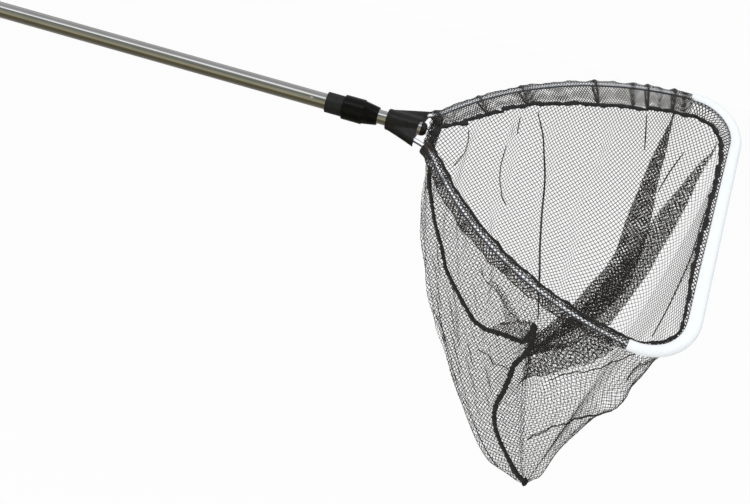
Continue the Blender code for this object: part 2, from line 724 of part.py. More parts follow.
class BagShape:
    """Bag surface below the hem, in world directions, measured from the yoke's front."""

    def __init__(self, hem):
        drop = HEM_THICKNESS / 2 + CLEARANCE + BAG_THICKNESS / 2
        roll = Matrix.Rotation(HOOP_ROLL, 3, "X")
        self.rim = [roll @ Vector((p.x, p.y, -drop)) for p in hem + hem[:1]]
        self.lengths = path_lengths(self.rim)
        spots = [self.rim_at(k / BAG_RIM_POINTS) for k in range(BAG_RIM_POINTS)]
        self.centre = sum(spots, Vector()) / len(spots)

    def rim_at(self, share):
        """Point of the rim at a share of its length."""
        length = share % 1.0 * self.lengths[-1]
        k = next(i for i, other in enumerate(self.lengths) if other > length)
        step = (length - self.lengths[k - 1]) / (self.lengths[k] - self.lengths[k - 1])
        return self.rim[k - 1].lerp(self.rim[k], step)

    def point(self, share, level):
        spoke = self.rim_at(share) - self.centre
        forward = (1.0 + spoke.x / math.hypot(spoke.x, spoke.y)) / 2
        fullness = BAG_FULLNESS_REAR + (BAG_FULLNESS_FRONT - BAG_FULLNESS_REAR) * forward
        roundness = BAG_ROUNDNESS_REAR + (BAG_ROUNDNESS_FRONT - BAG_ROUNDNESS_REAR) * forward
        size = (1.0 - level ** fullness) ** roundness
        heart = self.centre.lerp(BAG_TIP, level)
        return heart + Vector((spoke.x * size, spoke.y * size, spoke.z * size * (1.0 - level)))

    def outward(self, share, level):
        over = self.point(share + BAG_STEP, level) - self.point(share - BAG_STEP, level)
        down = self.point(share, level + BAG_STEP) - self.point(share, level - BAG_STEP)
        return over.cross(down).normalized()


def panel_columns(start, end, rim_length):
    """Shares across a panel, each with whether the strip after it is a bar."""
    bar = BAG_BAR / rim_length
    cell = (end - start - bar) / BAG_OPENINGS
    columns = []
    for k in range(BAG_OPENINGS):
        edge = start + cell * k
        columns += [(edge, True), (edge + bar, False), (edge + (bar + cell) / 2, False)]
    return columns + [(end - bar, True), (end, True)]


def panel_rows():
    """Levels down a panel, each with whether the strip after it is a bar."""
    rows = []
    for level, after in zip(BAG_BAR_LEVELS, BAG_BAR_LEVELS[1:] + BAG_FOOT_LEVELS[:1]):
        lower = level + BAG_BAR_DROP
        rows += [(level, True), (lower, False), ((lower + after) / 2, False)]
    return rows + [(level, True) for level in BAG_FOOT_LEVELS]


def make_panel(name, bag, start, end, aside, extension):
    """Half of the bag as a sheet with a grid of openings, moved aside by half the seam's gap."""
    shape = bmesh.new()
    shift = Vector((0.0, aside * BAG_SEAM_GAP / 2, 0.0))
    columns = panel_columns(start, end, bag.lengths[-1])
    rows = panel_rows()
    grid = [[shape.verts.new(bag.point(share, level) + shift) for share, _ in columns] for level, _ in rows]
    for upper, lower, (_, row_bar) in zip(grid, grid[1:], rows):
        for k, (_, column_bar) in enumerate(columns[:-1]):
            if row_bar or column_bar:
                shape.faces.new([upper[k], upper[k + 1], lower[k + 1], lower[k]])
    loose = [spot for spot in shape.verts if not spot.link_faces]
    bmesh.ops.delete(shape, geom=loose, context="VERTS")
    mesh = bpy.data.meshes.new(name)
    shape.to_mesh(mesh)
    shape.free()
    panel = add_part(name, mesh, "black_mesh", extension)
    thicken = panel.modifiers.new("Thicken", "SOLIDIFY")
    thicken.thickness = BAG_THICKNESS
    thicken.offset = 0.0
    mesh.shade_smooth()


def make_seam(bag, extension):
    """Rolled seam on the outside of the near panel, from the hem to the tip."""
    route = [Vector(mark) for mark in SEAM_ROUTE]
    for _ in range(SEAM_ROUNDS):
        corners = []
        for first, second in zip(route, route[1:]):
            corners += [first.lerp(second, 0.25), first.lerp(second, 0.75)]
        route = [route[0]] + corners + [route[-1]]
    line = [bag.point(*mark) for mark in route]
    lift = BAG_THICKNESS / 2 + SEAM_GAP + SEAM_TAPE_THICKNESS / 2
    rings = []
    for k, point in enumerate(line):
        along = line[min(k + 1, len(line) - 1)] - line[max(k - 1, 0)]
        outward = bag.outward(*route[k])
        side = outward.cross(along).normalized() * SEAM_TAPE_WIDTH / 2
        half = outward * SEAM_TAPE_THICKNESS / 2
        middle = point + outward * lift
        rings.append([middle - half - side, middle + half - side, middle + half + side, middle - half + side])
    add_part("seam_tape", lofted_mesh("seam_tape", rings), "black_tape", extension)


def make_gather(bag, extension):
    """Bunched and stitched end of the bag, under the last ring of both panels."""
    last = BAG_FOOT_LEVELS[-1]
    ring = [bag.point(k / BAG_RIM_POINTS, last) for k in range(BAG_RIM_POINTS)]
    centre = sum(ring, Vector()) / len(ring)
    top = min(p.z for p in ring) - BAG_THICKNESS / 2 - CLEARANCE
    profile = [(0.0, 0.0), (0.0, GATHER_RADIUS), (-GATHER_WAIST_DROP, GATHER_WAIST),
               (-GATHER_LENGTH, GATHER_END_RADIUS), (-GATHER_LENGTH, 0.0)]
    made = add_part("tip_gather", profile_mesh("tip_gather", profile, False), "black_tape", extension)
    made.location = (centre.x, centre.y, top)
    turn(made, GATHER_SIDES)


def make_net(extension, plane):
    path = HoopPath()
    make_rod(path, plane)
    make_bumper(path, plane)
    make_sleeves(path, plane)
    hem = hem_loop(path)
    make_hem(hem, plane)
    bag = BagShape(hem)
    make_panel("bag_panel_far", bag, 0.0, 0.5, 1, extension)
    make_panel("bag_panel_near", bag, 0.5, 1.0, -1, extension)
    make_seam(bag, extension)
    make_gather(bag, extension)


def main():
    clear_scene()
    make_materials()
    nut_axis = empty("lock_twist_axis", (NUT_REAR, 0.0, 0.0))
    extension = empty("telescope_axis", (YOKE_FRONT, 0.0, 0.0))
    plane = empty("hoop_plane", (0.0, 0.0, 0.0), (HOOP_ROLL, 0.0, 0.0))
    plane.parent = extension
    make_handle()
    make_lock(nut_axis)
    make_extension(extension)
    make_yoke(plane)
    make_net(extension, plane)


main()
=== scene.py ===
"""Pond net, dressed for the photograph's view: chromed telescopic handle, yoke, hoop and netting bag."""

import math

import bmesh
import bpy
import numpy as np
from mathutils import Matrix, Vector
from mathutils.bvhtree import BVHTree


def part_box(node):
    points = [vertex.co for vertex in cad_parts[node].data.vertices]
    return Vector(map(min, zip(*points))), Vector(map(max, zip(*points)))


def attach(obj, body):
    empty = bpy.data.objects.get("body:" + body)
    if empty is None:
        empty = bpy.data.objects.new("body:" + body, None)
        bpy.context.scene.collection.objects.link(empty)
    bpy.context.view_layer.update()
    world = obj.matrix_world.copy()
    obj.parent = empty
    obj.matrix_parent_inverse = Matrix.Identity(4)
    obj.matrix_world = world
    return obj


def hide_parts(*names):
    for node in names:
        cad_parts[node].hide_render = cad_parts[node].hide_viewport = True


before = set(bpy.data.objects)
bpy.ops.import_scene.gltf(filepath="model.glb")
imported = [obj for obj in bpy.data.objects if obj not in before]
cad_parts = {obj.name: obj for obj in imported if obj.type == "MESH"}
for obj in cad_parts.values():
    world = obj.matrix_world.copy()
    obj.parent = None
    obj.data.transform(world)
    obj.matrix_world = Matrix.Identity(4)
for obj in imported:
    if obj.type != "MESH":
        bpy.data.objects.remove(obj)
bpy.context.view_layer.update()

# Sizes in metres, from the part's source; hem, bumper lips and yoke face are set nearer to the photograph
CLEARANCE = 0.0003
OUTER_RADIUS = 0.011
TUBE_WALL = 0.001
INNER_RADIUS = 0.00975
INNER_BORE = 0.00875
PASSAGE = INNER_RADIUS + CLEARANCE
TUBE_REAR = 0.0063
TUBE_FRONT = 0.6063
FERRULE_REAR = 0.5863
FERRULE_FACE = 0.6103
FERRULE_RADIUS = 0.01435
SPIGOT_RADIUS = 0.013
NUT_REAR = 0.6106
NUT_SHOULDER = 0.6396
NUT_FRONT = 0.6606
NUT_RADIUS = 0.017
NUT_BORE = 0.0133
NUT_NOSE = PASSAGE + 0.0023
NUT_FACETS = 10
YOKE_REAR = 0.6726
YOKE_FRONT = 0.7216
YOKE_LENGTH = YOKE_FRONT - YOKE_REAR
NECK_RADIUS = 0.01475
LOBE_RADIUS = 0.00735
ARM_HALF_SPACING = 0.0235
SOCKET_DEPTH = 0.020
SOCKET_RADIUS = 0.00355
SCOOP_DEPTH = 0.0048
FACE_LEAN = 0.19
FACE_ADVANCE = 0.0015
YOKE_EDGE = 0.0029
INNER_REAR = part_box("inner_tube")[0].x
ROD_RADIUS = 0.00325
HOOP_ROLL = math.radians(45)
HOOP_SAG = math.radians(-4.1)
HOOP_DEPTH = 0.418
HOOP_HALF_WIDTH = 0.2123
CORNER_RADIUS = 0.065
SHOULDER_RADIUS = 0.050
ARM_EXIT_ANGLE = math.radians(15)
ARM_FRONT_ANGLE = math.radians(5)
BUMPER_INNER = 0.00375
BUMPER_OUTER = 0.00715
BUMPER_MOUTH = math.radians(26)
BUMPER_TAIL = 0.006
BUMPER_LIPS = ((0.0, 0.0), (0.15, 0.002), (0.30, 0.0035), (0.50, 0.0045), (0.68, 0.006), (0.80, 0.006),
               (0.90, 0.002), (1.0, 0.0))
SLEEVE_START = 0.016
HEM_OFFSET = 0.0088
HEM_CROSSING = 0.018
HEM_UPPER_DEPTHS = ((0.0, 0.019), (0.05, 0.022), (0.10, 0.027), (0.16, 0.0255), (0.35, 0.028), (0.61, 0.0365),
                    (0.76, 0.0375), (1.0, 0.033))
HEM_FRONT_DEPTHS = ((0.0, 0.033), (0.065, 0.033), (0.19, 0.023), (0.285, 0.0155), (0.48, 0.0175),
                    (0.61, 0.020), (0.765, 0.0165), (0.92, 0.012), (1.0, HEM_OFFSET))
BAG_DROP = 0.002
BAG_TIP = np.array((YOKE_FRONT + 0.2850, 0.0, -0.4600))
BAG_FULLNESS_FRONT = 1.27
BAG_FULLNESS_REAR = 1.93
BAG_ROUNDNESS_FRONT = 1.14
BAG_ROUNDNESS_REAR = 0.70

# Netting: pitch and thread of the far wall and sleeves, then of the near wall, and thread of the lower sleeve
PITCH = 0.0042
THREAD = 0.00084
NEAR_PITCH = 0.0050
NEAR_THREAD = 0.00071
SLACK_THREAD = 0.00106

# Camera, as found from the photograph
IMAGE_SIZE = (750, 504)
CAMERA_PLACE = (0.7964, -1.4341, 0.1748)
CAMERA_RIGHT = (0.9584, 0.1252, 0.2566)
CAMERA_UP = (-0.2788, 0.2172, 0.9354)
CAMERA_LENS = 50.4
CAMERA_SENSOR = 36.0


# Materials


def add_node(tree, kind, *values, **named):
    """Adds a node; its inputs are set or linked by order, or by name with underscores for spaces."""
    made = tree.nodes.new(kind)
    inputs = [*enumerate(values), *((name.replace("_", " "), value) for name, value in named.items())]
    for place, value in inputs:
        if isinstance(value, bpy.types.NodeSocket):
            tree.links.new(value, made.inputs[place])
        else:
            made.inputs[place].default_value = value
    return made


def add_value(tree, operation, *values, kind="ShaderNodeMath"):
    """Adds a node that works out a value, and returns the socket of that value."""
    made = add_node(tree, kind, *values)
    made.operation = operation
    return made.outputs["Value"]


def add_ramp(tree, value, *stops):
    """Adds a ramp between two colours, and returns the socket of its colour."""
    made = add_node(tree, "ShaderNodeValToRGB", value)
    for mark, (spot, colour) in zip(made.color_ramp.elements, stops):
        mark.position = spot
        mark.color = (*colour, 1.0)
    return made.outputs["Color"]


class Finish:
    """Principled material whose colour, roughness and relief come from patterns in object space."""

    def __init__(self, name, **values):
        self.material = bpy.data.materials.new(name)
        self.material.use_nodes = True
        self.tree = self.material.node_tree
        self.shader = self.tree.nodes["Principled BSDF"]
        self.coords = self.tree.nodes.new("ShaderNodeTexCoord").outputs
        for socket, value in values.items():
            self.shader.inputs[socket.replace("_", " ")].default_value = value

    def noise(self, scale, detail, stretch=(1.0, 1.0, 1.0)):
        place = add_node(self.tree, "ShaderNodeMapping", Vector=self.coords["Object"], Scale=stretch)
        made = add_node(self.tree, "ShaderNodeTexNoise", Vector=place.outputs["Vector"], Scale=scale,
                        Detail=detail, Roughness=0.55)
        return made.outputs["Fac"]

    def drive(self, socket, *names):
        for name in names:
            self.tree.links.new(socket, self.shader.inputs[name])

    def roughness(self, noise, low, high):
        made = add_node(self.tree, "ShaderNodeMapRange", Value=noise, From_Min=0.3, From_Max=0.7,
                        To_Min=low, To_Max=high)
        self.drive(made.outputs["Result"], "Roughness")

    def bump(self, noise, strength, distance):
        made = add_node(self.tree, "ShaderNodeBump", Height=noise, Strength=strength, Distance=distance)
        self.drive(made.outputs["Normal"], "Normal")


def finish(name, tone, gloss, relief, **values):
    """Material with tone, gloss and relief, each given as a noise and then the values it runs between."""
    made = Finish(name, **values)
    made.drive(add_ramp(made.tree, made.noise(*tone[0]), *tone[1:]), "Base Color")
    made.roughness(made.noise(*gloss[0]), *gloss[1:])
    made.bump(made.noise(*relief[0]), *relief[1:])
    return made.material


def plastic_finish(name, low, high, rough, grain=2600, **values):
    return finish(name, ((140, 5), (0.32, low), (0.68, high)), ((220, 4), *rough),
                  ((grain, 2), 0.12, 0.0002), **values)


def cloth_finish(name, low, high, fibre):
    return finish(name, ((260, 4), (0.32, low), (0.68, high)), ((400, 3), 0.62, 0.86),
                  ((fibre, 3), 0.5, 0.0004), Sheen_Weight=0.15, Sheen_Roughness=0.5)


def rod_painted_highlight_finish():
    """Metal whose colour is painted light, as the photograph shows it: a bright painted highlight where the
    surface faces a fixed light way, painted shade elsewhere, and a glow of that painted colour.
    """
    # The emission glows with the painted colour, so the rod shines like a lamp although it is not one.
    made = Finish("rod_metal", Metallic=0.3, Emission_Strength=0.4)
    painted_light_way = (0.1, -0.9, 0.42)
    facing = add_value(made.tree, "DOT_PRODUCT", made.coords["Normal"], painted_light_way,
                       kind="ShaderNodeVectorMath")
    painted_highlight = add_value(made.tree, "MULTIPLY_ADD", made.noise(700, 3), 0.10, facing)
    # Painted shade where the rod faces away from the light way and a painted highlight where it faces it,
    # with a little noise.
    tone = add_ramp(made.tree, painted_highlight, (0.84, (0.10, 0.11, 0.135)), (0.93, (0.92, 0.95, 0.98)))
    made.drive(tone, "Base Color", "Emission Color")
    made.roughness(made.noise(300, 4), 0.16, 0.30)
    made.bump(made.noise(900, 2), 0.08, 0.0002)
    return made.material


CHROME = finish("chrome", ((30, 4), (0.35, (0.74, 0.735, 0.72)), (0.65, (0.81, 0.81, 0.80))),
                ((60, 5, (0.15, 1.0, 1.0)), 0.07, 0.16), ((500, 2, (0.03, 1.0, 1.0)), 0.05, 0.0002),
                Metallic=1.0)
BLACK = plastic_finish("black_plastic", (0.005, 0.005, 0.0055), (0.010, 0.010, 0.0095), (0.30, 0.44))
NUT = plastic_finish("nut_plastic", (0.003, 0.003, 0.003), (0.006, 0.006, 0.0055), (0.14, 0.24),
                     Specular_IOR_Level=0.22)
GREY = plastic_finish("ferrule_plastic", (0.009, 0.009, 0.0095), (0.016, 0.016, 0.0165), (0.42, 0.56))
# White plastic with a faint glow of its own colour. This is painted light that brightens the bumper, which is
# no lamp.
WHITE_GLOWING = plastic_finish("white_plastic", (0.88, 0.925, 0.955), (0.93, 0.965, 0.985), (0.30, 0.44), 1500,
                       Emission_Color=(0.93, 0.965, 0.985, 1.0), Emission_Strength=0.17)
# Rod metal with a painted highlight and painted shade in its colour.
ROD = rod_painted_highlight_finish()
STEEL = finish("screw_steel", ((300, 4), (0.3, (0.50, 0.50, 0.49)), (0.7, (0.66, 0.66, 0.65))),
               ((500, 4), 0.22, 0.42), ((2500, 2), 0.10, 0.0002), Metallic=1.0)
NET = cloth_finish("black_mesh", (0.019, 0.0155, 0.0125), (0.048, 0.040, 0.033), 3800)
TAPE = cloth_finish("black_tape", (0.010, 0.010, 0.0105), (0.023, 0.023, 0.023), 2600)


# Mesh helpers


def unit(vectors):
    return vectors / np.maximum(np.linalg.norm(vectors, axis=-1), 1e-12)[..., None]


def circle(sides):
    return np.arange(sides) * 2 * math.pi / sides


def read_table(at, rows):
    """Value at a place, by rows of places and values."""
    return np.interp(at, *zip(*rows))


def lengths_of(points):
    return np.r_[0, np.cumsum(np.linalg.norm(np.diff(points, axis=0), axis=1))]


def along_path(points, lengths, at):
    return np.stack([np.interp(at, lengths, points[:, k]) for k in range(points.shape[1])], -1)


def smooth(values, times):
    """Draws every value but the first and last towards its neighbours."""
    for _ in range(times):
        values[1:-1] = (values[:-2] + 2 * values[1:-1] + values[2:]) / 4
    return values


def ripple(at, waves):
    """Sum of sines, each given as height, wavelength and phase."""
    return sum(height * np.sin(2 * math.pi * at / wave + phase) for height, wave, phase in waves)


def grid_quads(rows, columns):
    index = np.arange(rows * columns).reshape(rows, columns)
    return np.stack([index[:-1, :-1], index[:-1, 1:], index[1:, 1:], index[1:, :-1]], -1).reshape(-1, 4)


def ring_quads(first, after, size):
    """Faces between rings, by the first point of each ring and that of the ring after it."""
    spot = np.arange(size)
    turn = (spot + 1) % size
    first, after = first[:, None], after[:, None]
    return np.stack([first + spot, first + turn, after + turn, after + spot], -1).reshape(-1, 4)


def triangles(quads):
    return np.vstack([quads[:, (0, 1, 2)], quads[:, (0, 2, 3)]])


def quad_mesh(name, points, quads):
    mesh = bpy.data.meshes.new(name)
    mesh.vertices.add(len(points))
    mesh.vertices.foreach_set("co", np.asarray(points, np.float32).ravel())
    mesh.loops.add(quads.size)
    mesh.loops.foreach_set("vertex_index", quads.astype(np.int32).ravel())
    mesh.polygons.add(len(quads))
    mesh.polygons.foreach_set("loop_start", np.arange(0, quads.size, 4, dtype=np.int32))
    mesh.polygons.foreach_set("loop_total", np.full(len(quads), 4, np.int32))
    mesh.update(calc_edges=True)
    mesh.validate()
    return mesh


def tidy(mesh, angle=30):
    """Joins doubled points, turns the faces outwards and shades the mesh smooth between sharp edges."""
    shape = bmesh.new()
    shape.from_mesh(mesh)
    bmesh.ops.remove_doubles(shape, verts=shape.verts, dist=1e-6)
    bmesh.ops.recalc_face_normals(shape, faces=shape.faces)
    shape.to_mesh(mesh)
    shape.free()
    mesh.shade_smooth()
    mesh.set_sharp_from_angle(angle=math.radians(angle))
    return mesh


def loft(name, rings, loop=False, caps=True, angle=30):
    """Skin through an array of rings, closed by caps or, for a loop, onto its first ring."""
    count, size = rings.shape[:2]
    first = np.arange(count if loop else count - 1)
    faces = ring_quads(first * size, (first + 1) % count * size, size).tolist()
    if caps and not loop:
        faces.append(list(range(size)))
        faces.append([(count - 1) * size + k for k in range(size)])
    mesh = bpy.data.meshes.new(name)
    mesh.from_pydata(rings.reshape(-1, 3).tolist(), [], faces)
    return tidy(mesh, angle)


def turned(name, profile, sides=96, closed=True, angle=30):
    """Profile of places along the handle and radii, turned about the handle's axis."""
    profile = np.array(profile)
    angles = circle(sides)
    along = np.repeat(profile[:, :1], sides, 1)
    rings = np.stack([along, profile[:, 1:] * np.cos(angles), profile[:, 1:] * np.sin(angles)], -1)
    return loft(name, rings, loop=closed, caps=False, angle=angle)


def rounded(profile, radii, closed=True, steps=6):
    """Profile whose corners are turned into arcs of the radii given."""
    profile = np.array(profile, float)
    found = []
    for k, (corner, radius) in enumerate(zip(profile, radii)):
        if not radius or (not closed and k in (0, len(profile) - 1)):
            found.append(corner)
            continue
        back = profile[k - 1] - corner
        ahead = profile[(k + 1) % len(profile)] - corner
        reach = min(np.linalg.norm(back), np.linalg.norm(ahead))
        back /= np.linalg.norm(back)
        ahead /= np.linalg.norm(ahead)
        half = math.acos(np.clip(back @ ahead, -1, 1)) / 2
        cut = min(radius / math.tan(half), 0.49 * reach)
        radius = cut * math.tan(half)
        bisector = (back + ahead) / np.linalg.norm(back + ahead)
        centre = corner + bisector * radius / math.sin(half)
        start, end = corner + back * cut - centre, corner + ahead * cut - centre
        swing = math.pi - 2 * half
        for share in np.linspace(0, 1, steps):
            weights = math.sin((1 - share) * swing), math.sin(share * swing)
            found.append(centre + (weights[0] * start + weights[1] * end) / math.sin(swing))
    return found


def primitive(name, operation, **values):
    """Mesh made by one of the bmesh operations for simple shapes."""
    shape = bmesh.new()
    operation(shape, **values)
    mesh = bpy.data.meshes.new(name)
    shape.to_mesh(mesh)
    shape.free()
    return mesh


def cylinder(start, end, radius, sides=48):
    """Closed cylinder between two points."""
    start, end = Vector(start), Vector(end)
    axis = end - start
    place = Matrix.Translation((end + start) / 2) @ axis.to_track_quat("Z", "Y").to_matrix().to_4x4()
    return primitive("cylinder", bmesh.ops.create_cone, cap_ends=True, segments=sides, radius1=radius,
                     radius2=radius, depth=axis.length, matrix=place)


def add_object(name, data):
    made = bpy.data.objects.new(name, data)
    bpy.context.scene.collection.objects.link(made)
    return made


def piece(name, mesh, body, slot, material, *nodes):
    made = add_object(name, mesh)
    mesh.materials.clear()
    mesh.materials.append(material)
    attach(made, body)
    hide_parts(*nodes)


def applied(base, *helpers):
    """Mesh of an object after its modifiers; the object and its helpers are removed."""
    bpy.context.view_layer.update()
    made = bpy.data.meshes.new_from_object(base.evaluated_get(bpy.context.evaluated_depsgraph_get()))
    for old in (base, *helpers):
        bpy.data.objects.remove(old, do_unlink=True)
    return made


def cut_mesh(mesh, cutters, operation="DIFFERENCE"):
    """Mesh after exact booleans with other meshes."""
    base = add_object("cut_base", mesh)
    tools = [add_object("cut_tool", cutter) for cutter in cutters]
    for tool in tools:
        step = base.modifiers.new("Cut", "BOOLEAN")
        step.operation = operation
        step.solver = "EXACT"
        step.object = tool
    return applied(base, *tools)


def soften(mesh, width, segments, angle):
    """Mesh with its sharp edges bevelled."""
    base = add_object("soft_base", mesh)
    step = base.modifiers.new("Soften", "BEVEL")
    step.width = width
    step.segments = segments
    step.limit_method = "ANGLE"
    step.angle_limit = math.radians(angle)
    return tidy(applied(base), angle)


# Hoop path in its own plane: x along the handle from the yoke's front, y towards the upper arm


def to_world(flat, out=0.0):
    c, s = math.cos(HOOP_ROLL), math.sin(HOOP_ROLL)
    return np.stack([flat[..., 0] + YOKE_FRONT, flat[..., 1] * c - out * s, flat[..., 1] * s + out * c], -1)


def spin(points, angle):
    c, s = math.cos(angle), math.sin(angle)
    return points @ np.array([[c, s], [-s, c]])


def bend(start, heading, turn, radius, count):
    side = math.copysign(1.0, turn)
    angles = heading + turn * np.arange(0, count + 1) / count
    feet = np.stack([-np.sin(angles), np.cos(angles)], -1) * radius * side
    return (start + feet[0] - feet)[1:]


def half_hoop(side):
    sag = side * HOOP_SAG
    start = spin(np.array([0.0, ARM_HALF_SPACING]), -sag)
    heading = ARM_EXIT_ANGLE - sag
    spread = math.radians(50)
    for _ in range(40):
        shoulder = bend(start, heading, spread - heading, SHOULDER_RADIUS, 12)
        reach = HOOP_DEPTH - shoulder[-1][0] - CORNER_RADIUS * (1 + math.sin(ARM_FRONT_ANGLE))
        rise = HOOP_HALF_WIDTH - shoulder[-1][1] - CORNER_RADIUS * (1 - math.cos(ARM_FRONT_ANGLE))
        spread = 2 * math.atan2(rise, reach) - ARM_FRONT_ANGLE
    flank = reach / (math.sin(spread) - math.sin(ARM_FRONT_ANGLE))
    arm = np.vstack([start, shoulder, bend(shoulder[-1], spread, ARM_FRONT_ANGLE - spread, flank, 60)])
    corner = bend(arm[-1], ARM_FRONT_ANGLE, -math.pi / 2 - ARM_FRONT_ANGLE, CORNER_RADIUS, 30)
    middle = np.array([HOOP_DEPTH, 0.0])
    front = corner[-1] + (middle - corner[-1]) * (np.arange(1, 31) / 30)[:, None]
    flip = np.array([1, side])
    return spin(arm * flip, HOOP_SAG), spin(np.vstack([corner, front]) * flip, HOOP_SAG)


def right_of(ahead):
    """Unit vectors to the right of headings in the hoop's plane."""
    ahead = unit(ahead)
    return np.stack([ahead[..., 1], -ahead[..., 0]], -1)


class Hoop:
    """Rod's centre line by length from the upper socket's mouth round to the lower one's."""

    def __init__(self):
        upper_arm, upper_front = half_hoop(1)
        lower_arm, lower_front = half_hoop(-1)
        self.points = np.vstack([upper_arm, upper_front, lower_front[-2::-1], lower_arm[::-1]])
        self.lengths = lengths_of(self.points)
        self.total = self.lengths[-1]
        self.bumper = (self.lengths[len(upper_arm) - 1] - BUMPER_TAIL,
                       self.lengths[-len(lower_arm)] + BUMPER_TAIL)
        self.sleeve = (SLEEVE_START, self.total - SLEEVE_START)
        lean = math.tan(ARM_EXIT_ANGLE)
        self.foot = np.array([-SOCKET_DEPTH, ARM_HALF_SPACING - SOCKET_DEPTH * lean])

    def at(self, length):
        return along_path(self.points, self.lengths, length)

    def inward(self, length):
        step = 0.002
        after, before = np.minimum(length + step, self.total), np.maximum(length - step, 0.0)
        return right_of(self.at(after) - self.at(before))

    def place(self, length, into, out):
        """World points at lengths along the rod, moved into the hoop and out of its plane."""
        return to_world(self.at(length) + self.inward(length) * into[..., None], out)

    def hem_offset(self, length):
        arm = (length - self.sleeve[0]) / (self.bumper[0] - self.sleeve[0])
        front = (length - self.bumper[0]) / (self.bumper[1] - self.bumper[0])
        return np.where(arm <= 1, read_table(arm, HEM_UPPER_DEPTHS), read_table(front, HEM_FRONT_DEPTHS))

    def hem(self):
        """Hem's centre line in the hoop's plane, from the crossing before the yoke and back to it."""
        at = np.linspace(*self.sleeve, 600)
        line = self.at(at) + self.inward(at) * self.hem_offset(at)[:, None]
        line = line[line[:, 0] > HEM_CROSSING]
        middle = np.array([HEM_CROSSING, (line[0, 1] + line[-1, 1]) / 2])
        return np.vstack([middle, line, middle])


HOOP = Hoop()
HEM = HOOP.hem()
HEM_LENGTHS = lengths_of(HEM)
HEM_LENGTH = HEM_LENGTHS[-1]
RIM = to_world(HEM, -BAG_DROP)
BAG_CENTRE = along_path(RIM, HEM_LENGTHS / HEM_LENGTH, np.arange(200) / 200).mean(0)


# Handle and lock
DIMPLE_PLACE = FERRULE_REAR - 0.020
DIMPLE_RADIUS = 0.003
DIMPLE_DEPTH = 0.0006
DIMPLE_TURN = math.radians(14)
CAP_FLOOR = 0.006
CAP_WALL = 0.0015
CAP_OVERLAP = 0.030
GRIP_COUNT = 6
GRIP_START = 0.004
GRIP_STEP = 0.003
GRIP_HALF_WIDTH = 0.0007
GRIP_DEPTH = 0.00035
SPIGOT_LENGTH = 0.018
NUT_LAND = 0.006
NOSE_LENGTH = 0.004


def tube(name, rear, front, radius, bore, edge):
    """Straight tube with softened rims."""
    profile = [(front, radius), (rear, radius), (rear, bore), (front, bore)]
    return turned(name, rounded(profile, [edge] * 4, steps=3))


def make_handle():
    skin = tube("outer_tube_skin", TUBE_REAR, TUBE_FRONT, OUTER_RADIUS, OUTER_RADIUS - TUBE_WALL, 0.0003)
    reach = OUTER_RADIUS + DIMPLE_RADIUS - DIMPLE_DEPTH
    spot = (DIMPLE_PLACE, -reach * math.cos(DIMPLE_TURN), reach * math.sin(DIMPLE_TURN))
    dimple = primitive("dimple", bmesh.ops.create_uvsphere, u_segments=48, v_segments=24,
                       radius=DIMPLE_RADIUS, matrix=Matrix.Translation(spot))
    skin = tidy(cut_mesh(skin, [dimple]), 40)
    piece("outer_tube_chromed", skin, "handle", "chrome_tube", CHROME, "outer_tube")

    bore = OUTER_RADIUS + CLEARANCE
    rim = bore + CAP_WALL
    mouth = TUBE_REAR + CAP_OVERLAP
    outline = [(CAP_FLOOR, 0.0), (CAP_FLOOR, bore), (mouth, bore), (mouth, rim)]
    radii = [0, 0.0004, 0.0003, 0.0007]
    for k in range(GRIP_COUNT):
        spot = mouth - GRIP_START - GRIP_STEP * k
        outline += [(spot + GRIP_HALF_WIDTH, rim), (spot, rim - GRIP_DEPTH), (spot - GRIP_HALF_WIDTH, rim)]
        radii += [0.0003, 0.0004, 0.0003]
    outline += [(0.0, rim), (0.0, 0.004), (0.0006, 0.0032), (0.0006, 0.0)]
    radii += [0.0022, 0.0004, 0.0003, 0]
    cap = turned("end_cap_skin", rounded(outline, radii, closed=False), closed=False, angle=40)
    piece("end_cap_moulded", cap, "handle", "black_plastic", BLACK, "end_cap")


def make_lock():
    face = FERRULE_FACE + SPIGOT_LENGTH
    bore = OUTER_RADIUS + CLEARANCE
    stop = TUBE_FRONT + CLEARANCE
    outline = [(face, SPIGOT_RADIUS), (FERRULE_FACE, SPIGOT_RADIUS), (FERRULE_FACE, FERRULE_RADIUS),
               (FERRULE_REAR, FERRULE_RADIUS), (FERRULE_REAR, bore), (stop, bore), (stop, PASSAGE),
               (face, PASSAGE)]
    ferrule = turned("ferrule_skin", rounded(outline, [0.0004, 0, 0.0006, 0.0027, 0.0004, 0, 0, 0.0003]))
    piece("lock_ferrule_moulded", ferrule, "handle", "black_plastic", GREY, "lock_ferrule")

    base = face + CLEARANCE + NUT_LAND
    nose = NUT_FRONT - NOSE_LENGTH
    shoulder = NUT_RADIUS - 0.0008
    outline = [(NUT_FRONT, NUT_NOSE), (NUT_SHOULDER, shoulder), (NUT_SHOULDER, NUT_RADIUS),
               (NUT_REAR, NUT_RADIUS), (NUT_REAR, NUT_BORE), (base, NUT_BORE),
               (nose, PASSAGE + 0.0014), (nose, PASSAGE), (NUT_FRONT, PASSAGE)]
    radii = [0.0005, 0.0002, 0.0005, 0.0022, 0.0004, 0, 0, 0, 0.0003]
    body = turned("nut_skin", rounded(outline, radii), 120)
    flat = math.cos(math.pi / NUT_FACETS)
    wide = 2 * NUT_RADIUS
    front, rear = NUT_FRONT + CLEARANCE, NUT_REAR - CLEARANCE
    outline = [(front, 0.0), (front, NUT_NOSE / flat), (NUT_SHOULDER, shoulder), (NUT_SHOULDER, wide),
               (rear, wide), (rear, 0.0)]
    envelope = turned("facets", outline, NUT_FACETS, closed=False)
    nut = tidy(cut_mesh(body, [envelope], "INTERSECT"), 12)
    piece("lock_nut_moulded", nut, "nut", "black_plastic", NUT, "lock_nut")


